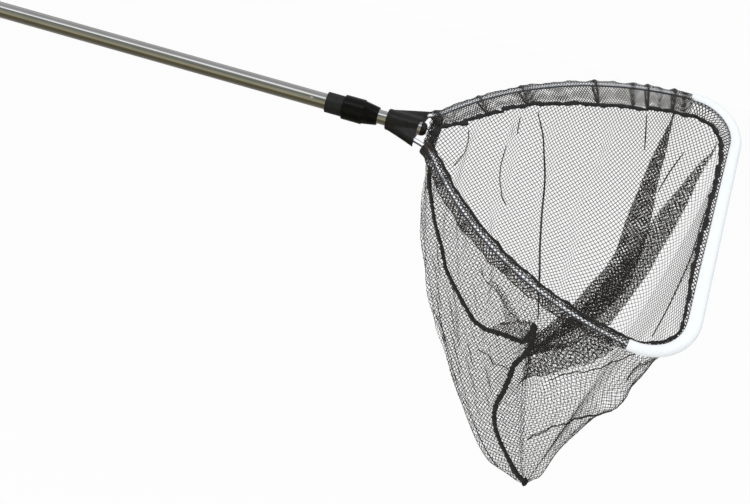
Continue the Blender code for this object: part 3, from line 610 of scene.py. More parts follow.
# Extension tube, plug, yoke and screws
PLUG_STEM = 0.012
PLUG_RISE = 0.008
REAR_SPREAD = 0.0081125
REAR_LOBE = 0.006785
FLUTE_DEPTH = 0.0024
LOWER_LOBE_GAIN = 0.05
TUBE_SCREW_PLACE = 0.035
ARM_SCREW_PLACE = 0.010
SCREW_SEAT = 0.0022
SCREW_ENTRY = 0.045
SCREW_RADIUS = 0.0014
HEAD_RADIUS = 0.0029
HEAD_HEIGHT = 0.002
RECESS_HALVES = (0.0017, 0.00032)
RECESS_DEPTH = 0.0022


def make_extension():
    skin = tube("inner_tube_skin", INNER_REAR, YOKE_FRONT, INNER_RADIUS, INNER_BORE, 0.00025)
    piece("inner_tube_chromed", skin, "extension", "chrome_tube", CHROME, "inner_tube")
    lip = YOKE_FRONT + CLEARANCE
    foot = YOKE_FRONT - PLUG_STEM
    spigot = INNER_BORE - CLEARANCE
    turns = np.linspace(0, math.pi / 2, 16)
    dome = [(lip + PLUG_RISE * math.cos(a), INNER_RADIUS * math.sin(a) ** 0.6) for a in turns]
    plug = turned("plug_skin", dome + [(lip, spigot), (foot, spigot), (foot, 0.0)], 64, closed=False)
    piece("tube_plug_moulded", plug, "extension", "black_plastic", BLACK, "tube_plug")


def arc(centre, radius, start, end, count=25):
    angles = np.linspace(start, end, count)
    return np.stack([centre + radius * np.cos(angles), radius * np.sin(angles)], -1)


def yoke_section(share):
    """Outline across the yoke: a centre boss and two arm lobes joined by soft flutes."""
    spread = REAR_SPREAD + (ARM_HALF_SPACING - REAR_SPREAD) * share
    lobe = REAR_LOBE + (LOBE_RADIUS - REAR_LOBE) * share
    tangent = math.acos((NECK_RADIUS - lobe) / spread)
    right = arc(spread, lobe, -tangent, tangent)
    top = arc(0.0, NECK_RADIUS, tangent, math.pi - tangent)
    flute = []
    for t in np.linspace(0, 1, 10)[1:-1]:
        spot = right[-1] + (top[0] - right[-1]) * t
        sink = FLUTE_DEPTH * share * math.sin(math.pi * t) ** 1.2
        flute.append(spot * (1 - sink / np.linalg.norm(spot)))
    flute = np.array(flute)
    mirror = np.array([-1, 1])
    upper = np.vstack([right[12:], flute, top, flute[::-1] * mirror, right[12:][::-1] * mirror])
    return np.vstack([upper, (upper * np.array([1, -1]))[::-1][1:-1]])


def make_yoke():
    rings = []
    edge = YOKE_EDGE / YOKE_LENGTH
    for share in np.r_[edge * (1 - np.cos(np.linspace(0, math.pi / 2, 7))), np.linspace(0.09, 1, 30)]:
        inset = 1 - math.sqrt(1 - max(1 - share / edge, 0) ** 2)
        outline = yoke_section(share) * (1 - inset * YOKE_EDGE / NECK_RADIUS)
        outline[:, 0] *= np.where(outline[:, 0] < 0, 1 + LOWER_LOBE_GAIN * share, 1.0)
        along = -YOKE_LENGTH * (1 - share) + share * (FACE_LEAN * outline[:, 0] + FACE_ADVANCE)
        rings.append(np.stack([along, outline[:, 0], outline[:, 1]], -1))
    mesh = loft("yoke_skin", np.array(rings))
    deep = 2 * NECK_RADIUS
    chord = ARM_HALF_SPACING + LOBE_RADIUS
    scoop = (chord ** 2 + SCOOP_DEPTH ** 2) / (2 * SCOOP_DEPTH)
    lean = math.tan(ARM_EXIT_ANGLE)
    away = (scoop - SCOOP_DEPTH) / math.hypot(1, FACE_LEAN)
    low, high = ((FACE_ADVANCE + away, -FACE_LEAN * away, z) for z in (-deep, deep))
    mesh = soften(cut_mesh(mesh, [cylinder(low, high, scoop, 160)]), 0.0013, 4, 40)
    tools = [cylinder((-2 * YOKE_LENGTH, 0, 0), (YOKE_LENGTH, 0, 0), PASSAGE, 96)]
    screws = [(-TUBE_SCREW_PLACE, 0.0, PASSAGE)]
    depth = SOCKET_DEPTH + CLEARANCE
    for side in (1, -1):
        foot = (-depth, side * (ARM_HALF_SPACING - depth * lean), 0)
        mouth = (SOCKET_DEPTH, side * (ARM_HALF_SPACING + SOCKET_DEPTH * lean), 0)
        tools.append(cylinder(foot, mouth, SOCKET_RADIUS))
        screws.append((-ARM_SCREW_PLACE, side * (ARM_HALF_SPACING - ARM_SCREW_PLACE * lean), SOCKET_RADIUS))
    for x, y, tip in screws:
        tools.append(cylinder((x, y, -SCREW_ENTRY), (x, y, -tip - SCREW_SEAT), HEAD_RADIUS + CLEARANCE, 40))
        tools.append(cylinder((x, y, -SCREW_ENTRY), (x, y, -tip / 2), SCREW_RADIUS + CLEARANCE, 24))
    mesh = tidy(cut_mesh(mesh, tools))
    place = Matrix.Translation((YOKE_FRONT, 0, 0)) @ Matrix.Rotation(HOOP_ROLL, 4, "X")
    mesh.transform(place)
    piece("yoke_moulded", mesh, "extension", "black_plastic", BLACK, "yoke")
    for name, (x, y, tip) in zip(("tube_screw", "arm_screw_upper", "arm_screw_lower"), screws):
        make_screw(name, place @ Matrix.Translation((x, y, 0)), tip)


def make_screw(name, place, tip):
    """Pan head screw with a crossed recess, its head towards the back of the yoke."""
    under = -tip - SCREW_SEAT - CLEARANCE
    top = under - HEAD_HEIGHT
    outline = [(-tip, 0.0), (-tip, SCREW_RADIUS), (under, SCREW_RADIUS), (under, HEAD_RADIUS),
               (top, HEAD_RADIUS), (top, 0.0)]
    outline = rounded(outline, [0, 0.0003, 0.0001, 0.0002, 0.0012, 0], closed=False)
    body = turned(name + "_skin", outline, 48, closed=False)
    body.transform(Matrix.Rotation(-math.pi / 2, 4, "Y"))
    slits = []
    for wide, deep in (RECESS_HALVES, RECESS_HALVES[::-1]):
        size = Matrix.Diagonal((2 * wide, 2 * deep, RECESS_DEPTH, 1))
        slits.append(primitive("slit", bmesh.ops.create_cube, size=1.0,
                               matrix=Matrix.Translation((0, 0, top)) @ size))
    body = tidy(cut_mesh(body, slits))
    body.transform(place)
    piece(name + "_head", body, "extension", "screw_steel", STEEL, name)


# Rod, bumper and sleeves
ROD_SIDES = 20
BUMPER_STEPS = 40
BUMPER_END = 0.0005
SLEEVE_STEPS = 80
SLEEVE_RADIUS = 0.0043
SLEEVE_BUMPS = ((0.0003, 0.031, 0.4), (0.0002, 0.017, 2.0), (0.0002, 0.011, 1.1))
SLEEVE_THICKNESS = 0.0012
HEM_REACH = 0.0020


def make_rod():
    stations = np.linspace(0, HOOP.total, 330)
    line = np.vstack([HOOP.foot, HOOP.at(stations), HOOP.foot * np.array([1, -1])])
    side = right_of(np.gradient(line, axis=0))
    angles = circle(ROD_SIDES)
    flat = line[:, None] + side[:, None] * (ROD_RADIUS * np.cos(angles))[None, :, None]
    rings = to_world(flat, (ROD_RADIUS * np.sin(angles))[None, :].repeat(len(line), 0))
    piece("hoop_rod_drawn", loft("rod_skin", rings), "extension", "rod_metal", ROD, "hoop_rod")


def make_bumper():
    outer = np.linspace(BUMPER_MOUTH, 2 * math.pi - BUMPER_MOUTH, BUMPER_STEPS)
    angles = np.r_[outer, outer[::-1]]
    radii = np.repeat((BUMPER_OUTER, BUMPER_INNER), BUMPER_STEPS)
    stations = np.linspace(*HOOP.bumper, 170)
    ease = np.minimum(stations - HOOP.bumper[0], HOOP.bumper[1] - stations)
    shrink = np.where(ease < BUMPER_END, 1 - 0.06 * (1 - ease / BUMPER_END), 1.0)[:, None]
    into = radii * np.cos(angles) * shrink
    out = radii * np.sin(angles) * shrink
    run = (stations - stations[0]) / (stations[-1] - stations[0])
    into += read_table(run, BUMPER_LIPS)[:, None] * np.maximum(np.cos(angles), 0)
    rings = HOOP.place(np.repeat(stations[:, None], 2 * BUMPER_STEPS, 1), into, out)
    mesh = soften(loft("bumper_skin", rings, angle=35), 0.0004, 2, 50)
    piece("front_bumper_extruded", mesh, "extension", "white_plastic", WHITE_GLOWING, "front_bumper")


class Netting:
    """Threads laid along lines on a surface and gathered into meshes."""

    def __init__(self):
        self.points = []
        self.quads = []
        self.count = 0

    def lay(self, line, normal, thread):
        """Adds one thread along a line of points with the surface's normals."""
        ahead = np.gradient(line, axis=0)
        side = unit(np.cross(normal, ahead))
        up = unit(np.cross(ahead, side))
        half = thread / 2
        ring = np.stack([line + up * half, line + side * half, line - up * half, line - side * half], 1)
        first = np.arange(len(line) - 1) * 4 + self.count
        self.quads.append(ring_quads(first, first + 4, 4))
        self.points.append(ring.reshape(-1, 3))
        self.count += 4 * len(line)

    def mesh(self, name):
        made = quad_mesh(name, np.vstack(self.points), np.vstack(self.quads))
        made.shade_smooth()
        return made


def runs_of(valid):
    """Start and end of each run of true values."""
    edge = np.diff(np.r_[0, valid.astype(int), 0])
    return zip(np.where(edge == 1)[0], np.where(edge == -1)[0])


def bias_lines(width, height, pitch):
    """Lines at both slants across a flat strip, as arrays of places."""
    step = pitch * math.sqrt(2)
    for slant in (1, -1):
        for start in np.arange(-height if slant > 0 else 0, width + (0 if slant > 0 else height), step):
            rise = np.arange(0, height + pitch / 2, pitch * 0.7071)
            over = start + slant * rise
            keep = (over >= 0) & (over <= width)
            if keep.sum() > 2:
                yield over[keep], rise[keep]


class Sleeve:
    """Net tube sewn at the hem and slung round the rod, with slack that hangs outside the hoop."""

    def __init__(self, start, end, bunches, crowd, slack):
        self.at = np.linspace(start, end, 400)
        self.bunches = bunches
        density = np.full(len(self.at), crowd)
        for spot, width, gain in bunches:
            density += gain * np.exp(-((self.at - spot) / width) ** 2)
        self.flat = np.r_[0, np.cumsum((density[1:] + density[:-1]) / 2 * np.diff(self.at))]
        self.rings, girths = self.sections(self.at, read_table(self.at, slack))
        self.girth = float(np.median(girths))

    def radius(self, length):
        puff = SLEEVE_RADIUS + ripple(length, SLEEVE_BUMPS)
        for spot, width, gain in self.bunches:
            puff += 0.0004 * gain * np.exp(-((length - spot) / (1.5 * width)) ** 2)
        return puff

    def sections(self, length, slack):
        """Rings of the tube, as points into the hoop and out of its plane, and their girths."""
        tail = HOOP.hem_offset(length) - HEM_REACH
        r = self.radius(length)
        sag = slack * (1 + ripple(length, ((0.08, 0.053, 0.3), (0.06, 0.023, 1.9))))
        thin = np.full_like(r, SLEEVE_THICKNESS)
        marks = np.array([
            (tail, thin), (0.55 * tail + 0.45 * r, 0.8 * r), (0.4 * r, 1.1 * r), (-0.9 * r, 0.9 * r),
            (-1.05 * r - 0.5 * sag, 0.2 * r - 0.2 * sag), (-1.1 * r - 0.95 * sag, -0.2 * r - 0.4 * sag),
            (-0.6 * r - 0.85 * sag, -0.9 * r - 0.6 * sag), (-0.3 * sag - 0.2 * r, -1.2 * r - 0.3 * sag),
            (0.5 * r, -1.1 * r), (0.55 * tail + 0.45 * r, -0.8 * r), (tail, -thin)]).transpose(2, 0, 1)
        for _ in range(3):
            before, after = marks[:, :-1], marks[:, 1:]
            cut = np.stack([0.75 * before + 0.25 * after, 0.25 * before + 0.75 * after], 2)
            marks = np.concatenate([marks[:, :1], cut.reshape(len(marks), -1, 2), marks[:, -1:]], 1)
        runs = [lengths_of(ring) for ring in marks]
        shares = np.linspace(0, 1, SLEEVE_STEPS + 1)
        rings = [along_path(ring, run, run[-1] * shares) for ring, run in zip(marks, runs)]
        return np.array(rings), [run[-1] for run in runs]

    def place(self, over, share):
        """Points for flat places along the sleeve and shares of the way round it."""
        length = np.interp(over, self.flat, self.at)
        row = np.interp(length, self.at, np.arange(len(self.at)))
        column = share * SLEEVE_STEPS
        low_row = np.minimum(row.astype(int), len(self.at) - 2)
        low_column = np.minimum(column.astype(int), SLEEVE_STEPS - 1)
        part, side = (row - low_row)[:, None], (column - low_column)[:, None]
        near, far = (self.rings[k, low_column] * (1 - side) + self.rings[k, low_column + 1] * side
                     for k in (low_row, low_row + 1))
        spot = near * (1 - part) + far * part
        sway = 0.0005 * np.sin(length / 0.009 + 5 * share) + 0.0004 * np.sin(length / 0.0047 - 7 * share)
        scale = 1 + sway / np.maximum(np.hypot(spot[:, 0], spot[:, 1]), 0.004)
        return HOOP.place(length, spot[:, 0] * scale, spot[:, 1] * scale)

    def threads(self, netting, thread):
        for over, rise in bias_lines(self.flat[-1], self.girth, PITCH):
            line = self.place(over, np.minimum(rise / self.girth, 1.0))
            middle = to_world(HOOP.at(np.interp(over, self.flat, self.at)))
            netting.lay(line, unit(line - middle), thread)


# Gathers along each sleeve as place on the rod, width and strength, and its slack by place
UPPER_GATHERS = ((0.0847, 0.0018, 4.0), (0.150, 0.0018, 4.0), (0.159, 0.0060, 1.2), (0.2599, 0.0020, 5.0),
                 (0.3148, 0.0030, 3.0), (0.3366, 0.0020, 5.0), (0.3558, 0.0040, 1.6), (0.3763, 0.0030, 4.0),
                 (0.392, 0.0060, 2.4))
LOWER_GATHERS = ((0.965, 0.0040, 1.2), (1.030, 0.0040, 1.0), (1.100, 0.0050, 1.0), (1.180, 0.0040, 1.2),
                 (1.250, 0.0040, 1.3), (1.300, 0.0060, 2.0))
UPPER_SLACK = ((0.0, 0.001), (1.0, 0.001))
LOWER_SLACK = ((0.90, 0.002), (0.96, 0.005), (1.03, 0.009), (1.12, 0.010), (1.20, 0.010), (1.27, 0.008),
               (1.30, 0.004), (1.33, 0.002))
END_GATHER = (0.004, 4.0)
UPPER_CROWD = 1.45
LOWER_CROWD = 1.0
SLEEVE_LAP = 0.004
FRONT_HEIGHT = 0.016
FRONT_ROOT = 0.0034
FRONT_CROWD = 1.1


def make_sleeves():
    start, end = HOOP.sleeve
    upper = Sleeve(start - 2 * SLEEVE_LAP, HOOP.bumper[0] + SLEEVE_LAP,
                   (*UPPER_GATHERS, (start, *END_GATHER)), UPPER_CROWD, UPPER_SLACK)
    lower = Sleeve(HOOP.bumper[1] - SLEEVE_LAP, end + SLEEVE_LAP,
                   (*LOWER_GATHERS, (end, *END_GATHER)), LOWER_CROWD, LOWER_SLACK)
    for name, sleeve, thread in (("sleeve_upper", upper, THREAD), ("sleeve_lower", lower, SLACK_THREAD)):
        netting = Netting()
        sleeve.threads(netting, thread)
        piece(name + "_net", netting.mesh(name + "_skin"), "extension", "black_mesh", NET, name)
    netting = Netting()
    start, end = HOOP.bumper
    plane_normal = np.array([0, -math.sin(HOOP_ROLL), math.cos(HOOP_ROLL)])
    for side in (1, -1):
        for over, rise in bias_lines((end - start) * FRONT_CROWD, FRONT_HEIGHT, PITCH * 1.15):
            length = start + over / FRONT_CROWD
            into = FRONT_ROOT + rise * (HOOP.hem_offset(length) - HEM_REACH - FRONT_ROOT) / FRONT_HEIGHT
            wave = 0.0006 * np.sin(length / 0.006 + side) + 0.0004 * np.sin(length / 0.0031)
            line = HOOP.place(length, into, side * (0.0007 + 0.5 * wave))
            netting.lay(line, np.tile(plane_normal, (len(line), 1)), THREAD)
    skin = netting.mesh("sleeve_front_skin")
    piece("sleeve_front_net", skin, "extension", "black_mesh", NET, "sleeve_front")


# Hem and seam tapes


def tape(name, line, across, half_width, half_thick, loop, sides=12):
    """Soft tape of oval section along a line, across giving the direction of its width."""
    ahead = unit(np.roll(line, -1, 0) - np.roll(line, 1, 0) if loop else np.gradient(line, axis=0))
    across = unit(across - ahead * (across * ahead).sum(1)[:, None])
    up = np.cross(ahead, across)
    cos, sin = np.cos(circle(sides)), np.sin(circle(sides))
    wide = np.sign(cos) * np.abs(cos) ** 0.8
    rings = (line[:, None] + across[:, None] * (half_width[:, None] * wide)[..., None]
             + up[:, None] * (half_thick[:, None] * sin)[..., None])
    return loft(name, rings, loop=loop, angle=60)


# Netting bunched between the starts of both sleeves
BUNCH_LENGTH = 0.060
BUNCH_WIDTH = 0.020
BUNCH_TURNS = (0.0, 2.1, 4.2)
BUNCH_FACING = (0.3, -0.9, 0.3)


def make_bunch():
    start, end = (to_world(HOOP.at(np.array([at])))[0] for at in HOOP.sleeve)
    heart = (start + end) / 4 + RIM[0] / 2
    netting = Netting()
    for turn in BUNCH_TURNS:
        for over, rise in bias_lines(BUNCH_LENGTH, BUNCH_WIDTH, 0.7 * PITCH):
            share = (over / BUNCH_LENGTH)[:, None]
            side = rise / BUNCH_WIDTH - 0.5
            line = (1 - share) ** 2 * start + 2 * share * (1 - share) * heart + share ** 2 * end
            share = share[:, 0]
            line[:, 0] += 0.002 + 0.013 * side + 0.0025 * np.sin(13 * share + 5 * side + turn)
            line[:, 1] += 0.0045 * np.sin(10 * share + 6 * side + 2 * turn)
            line[:, 2] += 0.0030 * np.cos(12 * share - 7 * side + turn)
            netting.lay(line, np.tile(BUNCH_FACING, (len(line), 1)), 1.15 * THREAD)
    piece("hem_bunch_net", netting.mesh("bunch_skin"), "extension", "black_mesh", TAPE, "hem_tape")


# Jogs of the hem where a gather pulls it, as share of its length and drop, and fullness of the hem by share
HEM_KINKS = ((0.045, 0.0045), (0.092, 0.0035), (0.262, 0.0015))
KINK_BEFORE = 0.022
KINK_AFTER = 0.016
HEM_REAR_REACH = 0.016
HEM_HALF_WIDTH = 0.0027
HEM_HALF_THICKNESS = 0.0017
HEM_FULLNESS = ((0.0, 1.2), (0.30, 1.15), (0.40, 1.3), (0.55, 1.0), (0.62, 0.7), (1.0, 0.7))
HEM_BUMPS = ((0.0006, 0.0237, 0.3), (0.0005, 0.0131, 1.7), (0.0004, 0.0419, 0.9), (0.0002, 0.0061, 0.2))


def make_hem():
    at = np.linspace(0, HEM_LENGTH, 700)[:-1]
    line = along_path(HEM, HEM_LENGTHS, at)
    even = sum(np.roll(line, k, 0) for k in range(-3, 4)) / 7
    inward = right_of(np.roll(even, -1, 0) - np.roll(even, 1, 0))
    bumps = ripple(at, HEM_BUMPS)
    share = at / HEM_LENGTH
    rear = np.exp(-(np.minimum(share, 1 - share) / HEM_REAR_REACH) ** 2)
    wave = ripple(at, ((0.0007, 0.061, 0.2), (0.0005, 0.029, 1.2)))
    for spot, drop in HEM_KINKS:
        away = share - spot
        wave += drop * np.where(away < 0, np.exp(away / KINK_BEFORE), -0.6 * np.exp(-away / KINK_AFTER))
    middle = even + inward * wave[:, None] * (1 - rear)[:, None]
    out = ripple(at, ((0.0004, 0.033, 2.1), (0.0003, 0.0127, 0.5)))
    world = to_world(middle, out)
    across = to_world(middle + inward, out) - world
    full = read_table(share, HEM_FULLNESS)
    half_width = (HEM_HALF_WIDTH + 0.9 * bumps) * full + 0.0012 * rear
    half_thick = (HEM_HALF_THICKNESS + 0.6 * np.roll(bumps, 9)) * full + 0.0010 * rear
    skin = tape("hem_skin", world, across, half_width, half_thick, True)
    piece("hem_tape_sewn", skin, "extension", "black_tape", TAPE, "hem_tape")


# Bag


def bag_heart(level):
    """Place on the line from the middle of the rim to the tip."""
    return BAG_CENTRE + (BAG_TIP - BAG_CENTRE) * level[..., None]


def bag_point(share, level):
    """Place on the bag by share of the hem's length and by level from hem to tip."""
    rim = along_path(RIM, HEM_LENGTHS / HEM_LENGTH, np.asarray(share) % 1.0)
    x, y, z = np.moveaxis(rim - BAG_CENTRE, -1, 0)
    forward = (1 + x / np.hypot(x, y)) / 2
    fullness = BAG_FULLNESS_REAR + (BAG_FULLNESS_FRONT - BAG_FULLNESS_REAR) * forward
    roundness = BAG_ROUNDNESS_REAR + (BAG_ROUNDNESS_FRONT - BAG_ROUNDNESS_REAR) * forward
    size = (1 - level ** fullness) ** roundness
    return bag_heart(level) + np.stack([x * size, y * size, z * size * (1 - level)], -1)


def bag_frame(share, level):
    """Point and outward normal."""
    step = 0.004
    point = bag_point(share, level)
    over = bag_point(share + step, level) - bag_point(share - step, level)
    lower = np.minimum(level + step, 0.998)
    upper = np.maximum(level - step, 0.0)
    normal = unit(np.cross(over, bag_point(share, lower) - bag_point(share, upper)))
    flip = np.sign((normal * (point - bag_heart(level))).sum(-1))
    return point, normal * flip[..., None]


class BagSight:
    """Finds which place of the bag the photograph shows at a pixel, on its far or near wall."""

    def __init__(self):
        shares, levels = np.linspace(0, 1, 301), np.linspace(0, 0.985, 140)
        self.share, self.level = (grid.ravel() for grid in np.meshgrid(shares, levels))
        self.points = bag_point(np.minimum(self.share, 0.99999), self.level)
        self.faces = triangles(grid_quads(len(levels), len(shares)))
        self.tree = BVHTree.FromPolygons(self.points.tolist(), self.faces.tolist())

    def hits(self, pixel):
        focal = CAMERA_LENS / CAMERA_SENSOR * IMAGE_SIZE[0]
        right, up = Vector(CAMERA_RIGHT), Vector(CAMERA_UP)
        ahead = up.cross(right) * focal
        ahead += right * (pixel[0] - IMAGE_SIZE[0] / 2) + up * (IMAGE_SIZE[1] / 2 - pixel[1])
        ahead.normalize()
        start = Vector(CAMERA_PLACE)
        step = 1e-4
        found = []
        while True:
            place, _, face, _ = self.tree.ray_cast(start, ahead)
            if face is None:
                return found
            found.append((place, face))
            start = place + ahead * step

    def route(self, pixels, near):
        """Levels and shares along a route of pixels, in its order."""
        marks = []
        for pixel in pixels:
            found = self.hits(pixel)
            if found:
                place, face = found[0 if near else -1]
                corners = self.faces[face]
                away = np.linalg.norm(self.points[corners] - np.array(place), axis=1)
                weight = 1 / np.maximum(away, 1e-7)
                weight /= weight.sum()
                marks.append((float(self.level[corners] @ weight), float(self.share[corners] @ weight)))
        return np.array(marks)


SIGHT = BagSight()


def interp_route(route, levels):
    order = np.argsort(route[:, 0])
    return np.interp(levels, route[order, 0], route[order, 1])


class Fold:
    """Cloth doubled back on itself between two shares at each level, seen at pixels of the photograph."""

    def __init__(self, low, high, near=False):
        self.low = SIGHT.route(low, near)
        self.high = SIGHT.route(high, near)

    def edges(self, levels):
        """Shares of both edges at each level, and how far the fold is closed there."""
        low, high = interp_route(self.low, levels), interp_route(self.high, levels)
        start = min(self.low[:, 0].min(), self.high[:, 0].min())
        end = max(self.low[:, 0].max(), self.high[:, 0].max())
        ease = np.clip((end + FOLD_EASE - levels) / FOLD_EASE, 0, 1)
        ease *= np.clip((levels - start + FOLD_EASE) / FOLD_EASE, 0, 1)
        half = np.maximum((high - low) / 2 * ease, IDLE_HALF_WIDTH)
        middle = (low + high) / 2
        return middle - half, middle + half, ease


def fold_edges(levels):
    """Edges of every fold; a fold that is idle at a level makes way for those at work there."""
    limit = np.full(len(levels), IDLE_LIMIT)
    found = []
    for fold in reversed(FOLDS):
        low, high, ease = fold.edges(levels)
        shift = np.where(ease > 0, 0.0, np.minimum(limit - IDLE_GAP_ABOVE - high, 0.0))
        found.append((low + shift, high + shift, ease))
        limit = np.minimum(limit, low + shift)
    floor = np.zeros(len(levels))
    for low, high, ease in reversed(found):
        shift = np.where(ease > 0, 0.0, np.maximum(floor + IDLE_GAP_BELOW - low, 0.0))
        yield low + shift, high + shift, ease
        floor = high + shift + FOLD_STEP


# Folds of the bag in order round the hem, both edges of each by pixels of the photograph from hem to tip
PLEAT_A_LEFT = ((672, 116), (661, 137), (652, 155), (645, 172), (637, 190), (629, 208), (623, 225),
                (615, 251), (603, 269), (586, 286), (573, 304), (548, 325), (531, 338))
PLEAT_A_RIGHT = ((674, 116), (669, 137), (666, 155), (661, 172), (657, 190), (654, 208), (648, 234),
                 (640, 260), (628, 290), (600, 318), (545, 345), (529, 351))
PLEAT_B_LEFT = ((713, 151), (698, 164), (684, 181), (670, 199), (654, 216), (645, 234), (632, 251),
                (615, 269), (600, 286), (585, 304), (545, 340), (529, 347))
PLEAT_B_RIGHT = ((716, 151), (708, 164), (698, 181), (691, 199), (682, 216), (673, 234), (661, 251),
                 (652, 269), (640, 286), (627, 304), (608, 328), (570, 347), (530, 355))
PATCH_LOW = ((612, 352), (590, 365), (550, 377), (512, 382))
PATCH_HIGH = ((600, 335), (560, 343), (525, 350))
FOLD_LAYERS = 5
FOLD_STEP = 0.004
FOLD_EASE = 0.04
FOLD_DEPTH = 0.0018
IDLE_HALF_WIDTH = 0.0010
IDLE_LIMIT = 0.985
IDLE_GAP_ABOVE = 0.006
IDLE_GAP_BELOW = 0.001
FOLDS = (Fold(PLEAT_A_LEFT, PLEAT_A_RIGHT), Fold(PLEAT_B_LEFT, PLEAT_B_RIGHT),
         Fold(PATCH_LOW, PATCH_HIGH, near=True))
CUT_FOLD = 1
COLUMN_STEP = 0.0075
SMALLEST_STRETCH = 0.0005
REAR_CUT = 0.0005
# Narrow creases as number of threads lying side by side and pixels of the photograph, by wall
FAR_CREASES = (
    (2, ((468, 130), (468, 140), (465, 152), (452, 165))),
    (2, ((505, 145), (500, 165), (499, 180), (502, 195), (507, 205))),
    (3, ((521, 118), (519, 135))),
    (4, ((538, 112), (541, 130), (544, 160), (545, 190), (541, 225), (540, 260), (539, 290), (538, 320))),
    (3, ((647, 114), (646, 130), (644, 150))),
    (3, ((684, 152), (670, 172), (658, 192))),
    (3, ((704, 214), (692, 255), (672, 300), (652, 337))),
)
NEAR_CREASES = (
    (4, ((608, 405), (570, 422), (527, 440))),
    (3, ((636, 354), (600, 368), (548, 380))),
    (2, ((480, 270), (503, 300), (518, 322))),
    (3, ((478, 348), (495, 362), (510, 372))),
    (2, ((425, 267), (433, 310), (442, 332), (450, 358), (460, 393), (468, 417), (481, 443), (501, 464))),
    (3, ((641, 362), (628, 381), (612, 404))),
)
CREASE_GAP = 0.0006
# Waves of the cloth as height, drift with level, wavelength, phase and share of them on the near wall
CLOTH_WAVES = ((0.0050, 0.03, 0.070, 0.0, 0), (0.0020, -0.10, 0.047, 1.0, 1), (0.0014, 0.16, 0.031, 2.4, 1))
# Swellings of the cloth as share of the hem and width there, level and reach there, and amount
BULGES = ((0.0, 0.09, 0.25, 0.10, 0.0055), (0.0, 0.09, 0.62, 0.07, -0.0035), (0.0, 0.09, 0.93, 0.09, 0.0095),
          (0.632, 0.05, 0.19, 0.06, -0.004), (0.632, 0.05, 0.46, 0.07, 0.0105),
          (0.632, 0.06, 0.93, 0.09, 0.008))
DENT_SHARE = 0.35
DENT_DEPTH = 0.030


def bag_sheet():
    """Points of the bag's cloth by row and column, with its folds laid in, cut in two inside one fold."""
    levels = np.r_[np.linspace(0, 0.9, 76), np.linspace(0.9, 0.988, 16)[1:]]
    none = np.zeros(len(levels))
    shares, depths = [none], [none]
    forward = []
    for k, (low, high, ease) in enumerate(fold_edges(levels)):
        deep = np.clip((high - low) * HEM_LENGTH * 0.9, 0.0, FOLD_DEPTH) * ease
        forward.append(len(shares))
        for turn in range(FOLD_LAYERS - 1):
            flat = low + (high - low) * (turn + 1) / FOLD_LAYERS
            shares.append(flat + ((low if turn % 2 else high) - flat) * ease)
            depths.append((0.15 + 0.65 * turn) * deep)
        if k == CUT_FOLD:
            cut_stretch = forward[-1] + 1
        shares.append(high + FOLD_STEP)
        depths.append(none)
    forward.append(len(shares))
    shares.append(np.ones(len(levels)))
    depths.append(none)
    columns = []
    for k in range(len(shares) - 1):
        first, second = shares[k], shares[k + 1]
        if k == cut_stretch:
            cut = len(columns)
        if k + 1 in forward:
            second = np.maximum(second, first + SMALLEST_STRETCH)
        count = max(int(np.abs(second - first).max() * HEM_LENGTH / COLUMN_STEP), 1)
        for part in np.arange(count) / count:
            columns.append((first + (second - first) * part, depths[k] + (depths[k + 1] - depths[k]) * part))
    columns.append((shares[-1], depths[-1]))
    share, depth = np.array(columns).transpose(1, 2, 0)
    level = np.repeat(levels[:, None], len(columns), 1)
    # the cut at the rear seam keeps the first and last column apart
    sheet, _ = drape(np.clip(share, REAR_CUT, 1 - REAR_CUT), level, depth)
    return sheet[:, :cut + 1], sheet[:, cut:]


def drape(share, level, depth):
    """Place of the cloth at a depth under its surface, with waves, swellings and sunken front, and normal."""
    point, normal = bag_frame(share, level)
    over = share * HEM_LENGTH
    # waves fade out at the hem and towards the tip, and leave the front flat
    fade = np.clip(level / 0.06, 0, 1) * np.clip((0.9 - level) / 0.3, 0, 1)
    far = np.clip((0.30 - share) / 0.08, 0, 1) * np.clip(share / 0.02, 0, 1)
    near = np.clip((share - 0.60) / 0.10, 0, 1)
    wave = sum(height * np.sin(2 * math.pi * (over + drift * level) / length + phase) * (far + near * part)
               for height, drift, length, phase, part in CLOTH_WAVES)
    bulge = np.zeros_like(share)
    for place, width, height, reach, amount in BULGES:
        away = np.abs(share - place)
        window = np.exp(-(np.minimum(away, 1 - away) / width) ** 2)
        bulge += amount * window * np.exp(-((level - height) / reach) ** 2)
    bulge *= np.clip((0.985 - level) / 0.05, 0, 1)
    sheet = point + normal * ((wave * fade) + bulge - depth)[..., None]
    # the front of the bag has sunk in along the fold, straight towards the lens
    width = np.where(share < DENT_SHARE, 0.05, 0.10)
    dent = DENT_DEPTH * np.exp(-((share - DENT_SHARE) / width) ** 2)
    dent *= np.sin(math.pi / 2 * np.clip(level / 0.35, 0, 1)) * np.clip((0.85 - level) / 0.4, 0, 1)
    ahead = np.array(CAMERA_PLACE) - sheet
    sheet += ahead / np.linalg.norm(ahead, axis=-1)[..., None] * dent[..., None]
    return sheet, normal


def walk(route, near, count):
    """Lengths, shares and levels of even places along a route of pixels."""
    level, share = SIGHT.route(route, near).T
    lengths = lengths_of(bag_point(share, level))
    at = np.linspace(0, lengths[-1], count)
    return at, np.interp(at, lengths, share), np.interp(at, lengths, level)


def crease_lines(route, near, count):
    """Threads side by side along a narrow crease, closing up at its ends."""
    at, share, level = walk(route, near, 60)
    share, level = smooth(share, 6), smooth(level, 6)
    spread = CREASE_GAP / HEM_LENGTH * np.sin(math.pi * at / at[-1]) ** 0.5 / np.maximum(1 - level, 0.2)
    for k in range(count):
        yield drape(share + spread * (k - (count - 1) / 2), level, 0.0005 * (k % 2 * 2 - 1))


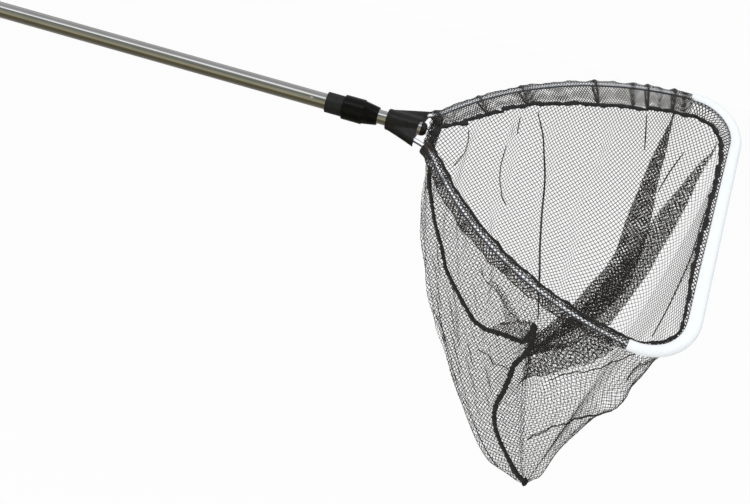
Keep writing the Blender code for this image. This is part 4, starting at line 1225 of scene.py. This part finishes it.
def unfold(points):
    """Flat places of a sheet of points, in metres, by laying it out with the least stretch."""
    quads = grid_quads(*points.shape[:2])
    solid = points.reshape(-1, 3)
    mesh = bpy.data.meshes.new("sheet")
    mesh.from_pydata(solid.tolist(), [], quads.tolist())
    made = add_object("sheet", mesh)
    bpy.context.view_layer.objects.active = made
    made.select_set(True)
    bpy.ops.object.mode_set(mode="EDIT")
    bpy.ops.mesh.select_all(action="SELECT")
    bpy.ops.uv.unwrap(method="MINIMUM_STRETCH", margin=0.0, iterations=5)
    bpy.ops.object.mode_set(mode="OBJECT")
    spots = np.zeros(len(mesh.loops) * 2)
    mesh.uv_layers.active.data.foreach_get("uv", spots)
    flat = np.zeros((len(solid), 2))
    flat[quads.ravel()] = spots.reshape(-1, 2)
    bpy.data.objects.remove(made, do_unlink=True)
    edges = np.vstack([quads[:, (0, 1)], quads[:, (1, 2)]])
    true, laid = (np.linalg.norm(at[edges[:, 0]] - at[edges[:, 1]], axis=1).sum() for at in (solid, flat))
    return flat * (true / laid), quads


class FlatCloth:
    """Cloth known both flat and in place, which carries flat places onto the surface."""

    def __init__(self, points, flat, quads):
        self.solid = points.reshape(-1, 3)
        self.flat = flat
        self.faces = triangles(quads)
        level = np.column_stack([flat, np.zeros(len(flat))])
        self.tree = BVHTree.FromPolygons(level.tolist(), self.faces.tolist())
        a, b, c = (self.solid[self.faces[:, k]] for k in range(3))
        self.normal = unit(np.cross(b - a, c - a))

    def face_at(self, places):
        down = Vector((0, 0, -1))
        found = [self.tree.ray_cast(Vector((x, y, 1.0)), down)[2] for x, y in places]
        return np.array([-1 if f is None else f for f in found])

    def carry(self, places, face):
        a, b, c = (self.flat[self.faces[face, k]] for k in range(3))
        ab, ac, ap = b - a, c - a, places - a
        area = ab[:, 0] * ac[:, 1] - ab[:, 1] * ac[:, 0]
        area = np.where(np.abs(area) < 1e-14, 1e-14, area)
        v = (ap[:, 0] * ac[:, 1] - ap[:, 1] * ac[:, 0]) / area
        w = (ab[:, 0] * ap[:, 1] - ab[:, 1] * ap[:, 0]) / area
        a, b, c = (self.solid[self.faces[face, k]] for k in range(3))
        return a + (b - a) * v[:, None] + (c - a) * w[:, None]

    def edge_between(self, inside, outside):
        """Last flat place on the cloth on the way out of it."""
        near, far = inside, outside
        for _ in range(6):
            middle = (near + far) / 2
            if self.face_at([middle])[0] >= 0:
                near = middle
            else:
                far = middle
        return near


def lattice(points, slant, pitch):
    """Netting threads over a cloth, square in its flat state and slanted to the middle of the cloth's hem."""
    flat, quads = unfold(points)
    rows, columns = points.shape[:2]
    grid = flat.reshape(rows, columns, 2)
    hem_row = 4
    heading = grid[hem_row, 2 * columns // 3] - grid[hem_row, columns // 3]
    turn = math.atan2(heading[1], heading[0]) + slant
    axes = np.array([[math.cos(turn), math.sin(turn)], [-math.sin(turn), math.cos(turn)]])
    local = flat @ axes.T
    low, high = local.min(0), local.max(0)
    count = np.ceil((high - low) / pitch).astype(int) + 1
    over, rise = (start + np.arange(number) * pitch for start, number in zip(low, count))
    over, rise = np.meshgrid(over, rise, indexing="ij")
    places = np.stack([over, rise], -1) @ axes
    cloth = FlatCloth(points, flat, quads)
    face = cloth.face_at(places.reshape(-1, 2)).reshape(count)
    for spots, faces in ((places, face), (places.transpose(1, 0, 2), face.T)):
        for k in range(len(spots)):
            for start, end in runs_of(faces[k] >= 0):
                line = list(spots[k, start:end])
                if start > 0:
                    line.insert(0, cloth.edge_between(spots[k, start], spots[k, start - 1]))
                if end < len(spots[k]):
                    line.append(cloth.edge_between(spots[k, end - 1], spots[k, end]))
                line = np.array(line)
                if len(line) < 3:
                    continue
                hit = cloth.face_at(line)
                hit = np.where(hit < 0, faces[k, start], hit)
                hit[0], hit[-1] = faces[k, start], faces[k, end - 1]
                yield cloth.carry(line, hit), cloth.normal[hit]


def make_bag():
    nettings = Netting(), Netting(), Netting()
    far, near = bag_sheet()
    for line, normal in lattice(far, math.pi / 4, PITCH):
        split_thread(line, normal, nettings, THREAD)
    for line, normal in lattice(near, 0.0, NEAR_PITCH):
        split_thread(line, normal, nettings, NEAR_THREAD)
    for near_wall, creases in ((False, FAR_CREASES), (True, NEAR_CREASES)):
        for count, route in creases:
            for line, normal in crease_lines(route, near_wall, count):
                split_thread(line, normal, nettings, THREAD)
    for outline, pitch in KNOT_PATCHES:
        for line, normal in doubled(outline, pitch):
            nettings[2].lay(line, normal, THREAD)
    names = ("bag_net_far", "bag_net_front", "bag_net_near")
    nodes = ("bag_panel_far", "bag_panel_far", "bag_panel_near")
    for name, node, netting in zip(names, nodes, nettings):
        piece(name, netting.mesh(name + "_skin"), "extension", "black_mesh", NET, node)


# Cloth bunched up where the seam is pulled, by pixels of the photograph round it and gap between its threads
KNOT_PATCHES = (
    (((487, 329), (502, 322), (520, 320), (539, 324), (543, 334), (538, 344), (527, 352), (524, 344),
      (505, 335)), 1.9),
    (((490, 327), (502, 321), (520, 319), (539, 323), (538, 326), (520, 323), (503, 325)), 1.2),
    (((488, 277), (497, 283), (506, 292), (521, 320), (507, 321), (503, 304)), 2.3),
    (((529, 353), (536, 346), (548, 343), (560, 346), (545, 353)), 1.6),
)
KNOT_SLANTS = (math.radians(32), math.radians(118))
KNOT_STEP = 1.5
KNOT_RISE = 0.0012
# Limits between the bag's pieces: the near side by place across the handle, the front by place along it
NEAR_DEPTH = -0.012
FRONT_PLACE = 0.985


def doubled(outline, pitch):
    """Threads of doubled cloth on the near wall inside an outline of pixels."""
    outline = np.array(outline, float)
    ahead = np.roll(outline, -1, 0)
    centre = outline.mean(0)
    reach = np.linalg.norm(outline - centre, axis=1).max()
    steps = np.arange(-reach, reach, KNOT_STEP)
    for slant in KNOT_SLANTS:
        along = np.array([math.cos(slant), math.sin(slant)])
        across = np.array([-along[1], along[0]])
        for offset in np.arange(-reach, reach, pitch):
            spots = centre + across * offset + along * steps[:, None]
            x, y = spots[:, :1], spots[:, 1:]
            span = (outline[:, 1] > y) != (ahead[:, 1] > y)
            rise = np.where(ahead[:, 1] == outline[:, 1], 1.0, ahead[:, 1] - outline[:, 1])
            crossing = outline[:, 0] + (y - outline[:, 1]) / rise * (ahead[:, 0] - outline[:, 0])
            for start, end in runs_of((span & (x < crossing)).sum(1) % 2 == 1):
                if end - start > 2:
                    marks = SIGHT.route(spots[start:end], True)
                    yield drape(marks[:, 1], marks[:, 0], -KNOT_RISE)


def split_thread(solid, normal, nettings, thread):
    """Lays a thread in the pieces that it passes through: far side, front and near side."""
    where = np.where(solid[:, 1] < NEAR_DEPTH, 2, np.where(solid[:, 0] < FRONT_PLACE, 0, 1))
    for kind, netting in enumerate(nettings):
        for start, end in runs_of(where == kind):
            start = max(start - 1, 0)
            if end - start > 1:
                netting.lay(solid[start:end], normal[start:end], thread)


# Seam down the near wall, by pixels of the photograph, and half its width by share of its length
SEAM_ROUTE = ((431, 167), (430, 178), (431, 191), (436, 222), (443, 247), (447, 268), (454, 283), (463, 300),
              (475, 321), (487, 329), (504, 334), (525, 342), (530, 334), (536, 324), (534, 336), (530, 347),
              (524, 356), (515, 364), (510, 377), (504, 391), (497, 403), (495, 413), (496, 427), (501, 441),
              (510, 460), (517, 473), (523, 480))
SEAM_HALF_WIDTHS = ((0.0, 0.0037), (0.92, 0.0037), (0.97, 0.0052), (1.0, 0.0040))
SEAM_HALF_THICKNESS = 0.0017
SEAM_RISE = 0.0022
# Radii of the gather at the tip by share of its height
GATHER_RADII = ((0.0, 0.0012), (0.2, 0.0032), (0.6, 0.0040), (0.85, 0.0030), (1.0, 0.0006))
GATHER_LEVEL = 0.97
GATHER_DROP = 0.0008
GATHER_SIDES = 48


def make_seam():
    at, share, level = walk(SEAM_ROUTE, True, 360)
    point, normal = bag_frame(share, level)
    bumps = ripple(at, ((0.0004, 0.0113, 0.3), (0.0004, 0.0071, 1.7), (0.0003, 0.0237, 0.9)))
    line = smooth(point, 3) + normal * (SEAM_RISE + 0.4 * bumps)[:, None]
    across = np.cross(normal, np.gradient(line, axis=0))
    half_width = read_table(at / at[-1], SEAM_HALF_WIDTHS) + bumps
    half_thick = SEAM_HALF_THICKNESS + 0.5 * np.roll(bumps, 11)
    skin = tape("seam_skin", line, across, half_width, half_thick, False)
    piece("seam_tape_rolled", skin, "extension", "black_tape", TAPE, "seam_tape")


def make_gather():
    low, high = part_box("tip_gather")
    centre = (low + high) / 2
    top = bag_heart(np.array(GATHER_LEVEL))[2]
    foot = BAG_TIP[2] - GATHER_DROP
    angles = circle(GATHER_SIDES)
    rings = []
    for share in np.linspace(0, 1, 26):
        folds = 1 + 0.12 * np.sin(9 * angles + 4 * share) * (1 - share)
        folds += 0.06 * np.sin(17 * angles - 3 * share)
        radius = read_table(share, GATHER_RADII) * folds
        x, y = centre.x + radius * np.cos(angles), centre.y + radius * np.sin(angles)
        rings.append(np.stack([x, y, np.full(GATHER_SIDES, top - (top - foot) * share)], -1))
    skin = loft("gather_skin", np.array(rings), angle=60)
    piece("tip_gather_sewn", skin, "extension", "black_tape", TAPE, "tip_gather")


# Stage, lights and camera
FLOOR_PLACE = (0.6, 0.0, -0.60)
FLOOR_SIZE = 30.0
FLOOR_TONES = ((0.0, (0.92, 0.92, 0.92)), (1.0, (0.95, 0.95, 0.95)))
FLOOR_GLOW = 0.95
WORLD_LIGHT = 0.55
WORLD_SEEN = 0.985
KEY_PLACE = (0.2, -1.9, 2.0)
KEY_AIM = (0.8, 0.0, 0.0)
KEY_SIZE = (2.4, 1.6)
KEY_POWER = 34


def seen_rays(tree):
    """One for rays of the camera, of reflections and of transmission, and zero for other rays."""
    path = tree.nodes.new("ShaderNodeLightPath").outputs
    bounced = add_value(tree, "MAXIMUM", path["Is Glossy Ray"], path["Is Transmission Ray"])
    return add_value(tree, "MAXIMUM", path["Is Camera Ray"], bounced)


def make_stage():
    scene = bpy.context.scene
    scene.view_settings.view_transform = "Standard"
    world = bpy.data.worlds.new("studio")
    scene.world = world
    world.use_nodes = True
    tree = world.node_tree
    strength = add_node(tree, "ShaderNodeMapRange", Value=seen_rays(tree), To_Min=WORLD_LIGHT,
                        To_Max=WORLD_SEEN)
    back = tree.nodes["Background"]
    back.inputs["Color"].default_value = (1.0, 1.0, 1.0, 1.0)
    tree.links.new(strength.outputs["Result"], back.inputs["Strength"])

    mesh = primitive("floor", bmesh.ops.create_grid, x_segments=4, y_segments=4, size=FLOOR_SIZE)
    mesh.materials.append(floor_material())
    floor = add_object("floor", mesh)
    floor.location = FLOOR_PLACE
    floor.visible_glossy = False
    make_ring()

    light = bpy.data.lights.new("key", "AREA")
    light.shape = "RECTANGLE"
    light.size, light.size_y = KEY_SIZE
    light.energy = KEY_POWER
    key = add_object("key", light)
    key.location = KEY_PLACE
    key.rotation_euler = (Vector(KEY_AIM) - key.location).to_track_quat("-Z", "Y").to_euler()
    key.visible_glossy = False


def floor_material():
    """White paper that rays of the camera and of reflections see evenly lit."""
    made = Finish("floor_paper", Roughness=0.9, Specular_IOR_Level=0.0)
    tree = made.tree
    grain = add_node(tree, "ShaderNodeTexNoise", Vector=made.coords["Object"], Scale=3.0)
    made.drive(add_ramp(tree, grain.outputs["Fac"], *FLOOR_TONES), "Base Color")
    glow = add_node(tree, "ShaderNodeEmission", Strength=1.0)
    amount = add_value(tree, "MULTIPLY", seen_rays(tree), FLOOR_GLOW)
    mix = add_node(tree, "ShaderNodeMixShader", amount, made.shader.outputs[0], glow.outputs[0])
    tree.links.new(mix.outputs[0], tree.nodes["Material Output"].inputs["Surface"])
    return made.material


# Studio round the handle as metal shows it: angle about the handle from the front, and tone
RING = ((-180, (0.20, 0.19, 0.18)), (-140, (0.26, 0.25, 0.24)), (-109, (0.18, 0.165, 0.13)),
        (-87, (0.11, 0.10, 0.075)), (-53, (0.09, 0.08, 0.046)), (-40, (0.13, 0.12, 0.07)),
        (-26, (0.36, 0.335, 0.23)), (-8, (0.27, 0.26, 0.19)), (14, (0.235, 0.24, 0.21)),
        (26, (0.12, 0.13, 0.12)), (36, (0.16, 0.17, 0.17)), (46, (1.0, 1.0, 1.0)), (56, (1.2, 1.2, 1.22)),
        (62, (0.42, 0.42, 0.45)), (84, (0.32, 0.32, 0.345)), (112, (0.36, 0.36, 0.36)),
        (130, (0.50, 0.50, 0.50)), (150, (0.34, 0.34, 0.34)), (180, (0.20, 0.19, 0.18)))
RING_SIDES = 120
RING_RADIUS = 0.58
RING_ENDS = (-2.5, 4.0)


def make_ring():
    """Cards of the studio, seen only in reflections."""
    angles = np.radians(np.linspace(-180, 180, RING_SIDES + 1))
    points = [(x, -RING_RADIUS * math.cos(a), RING_RADIUS * math.sin(a)) for a in angles for x in RING_ENDS]
    faces = [(2 * k, 2 * k + 1, 2 * k + 3, 2 * k + 2) for k in range(RING_SIDES)]
    mesh = bpy.data.meshes.new("studio_cards")
    mesh.from_pydata(points, [], faces)
    tones = mesh.color_attributes.new("tone", "FLOAT_COLOR", "POINT")
    marks, colours = zip(*RING)
    for k, a in enumerate(np.degrees(angles)):
        tone = [float(np.interp(a, marks, channel)) for channel in zip(*colours)]
        for j in (0, 1):
            tones.data[2 * k + j].color = (*tone, 1.0)
    made = bpy.data.materials.new("studio_cards")
    made.use_nodes = True
    tree = made.node_tree
    tree.nodes.remove(tree.nodes["Principled BSDF"])
    tone = tree.nodes.new("ShaderNodeVertexColor")
    tone.layer_name = "tone"
    glow = add_node(tree, "ShaderNodeEmission", Color=tone.outputs["Color"])
    tree.links.new(glow.outputs[0], tree.nodes["Material Output"].inputs["Surface"])
    mesh.materials.append(made)
    ring = add_object("studio_cards", mesh)
    ring.visible_camera = False
    ring.visible_diffuse = False
    ring.visible_shadow = False
    ring.visible_transmission = False
    ring.visible_volume_scatter = False


def make_camera():
    data = bpy.data.cameras.new("camera")
    data.lens = CAMERA_LENS
    data.sensor_width = CAMERA_SENSOR
    camera = add_object("camera", data)
    right, up = Vector(CAMERA_RIGHT), Vector(CAMERA_UP)
    turn = Matrix((right, up, right.cross(up))).transposed()
    camera.matrix_world = Matrix.Translation(CAMERA_PLACE) @ turn.to_4x4()
    bpy.context.scene.camera = camera


def dress_hidden():
    for name in ("guide_bush", "lock_collet"):
        node = bpy.data.objects[name]
        node.data.materials.clear()
        node.data.materials.append(BLACK)


make_camera()
make_stage()
make_handle()
make_lock()
make_extension()
make_yoke()
make_rod()
make_bumper()
make_sleeves()
make_hem()
make_bunch()
make_bag()
make_seam()
make_gather()
dress_hidden()
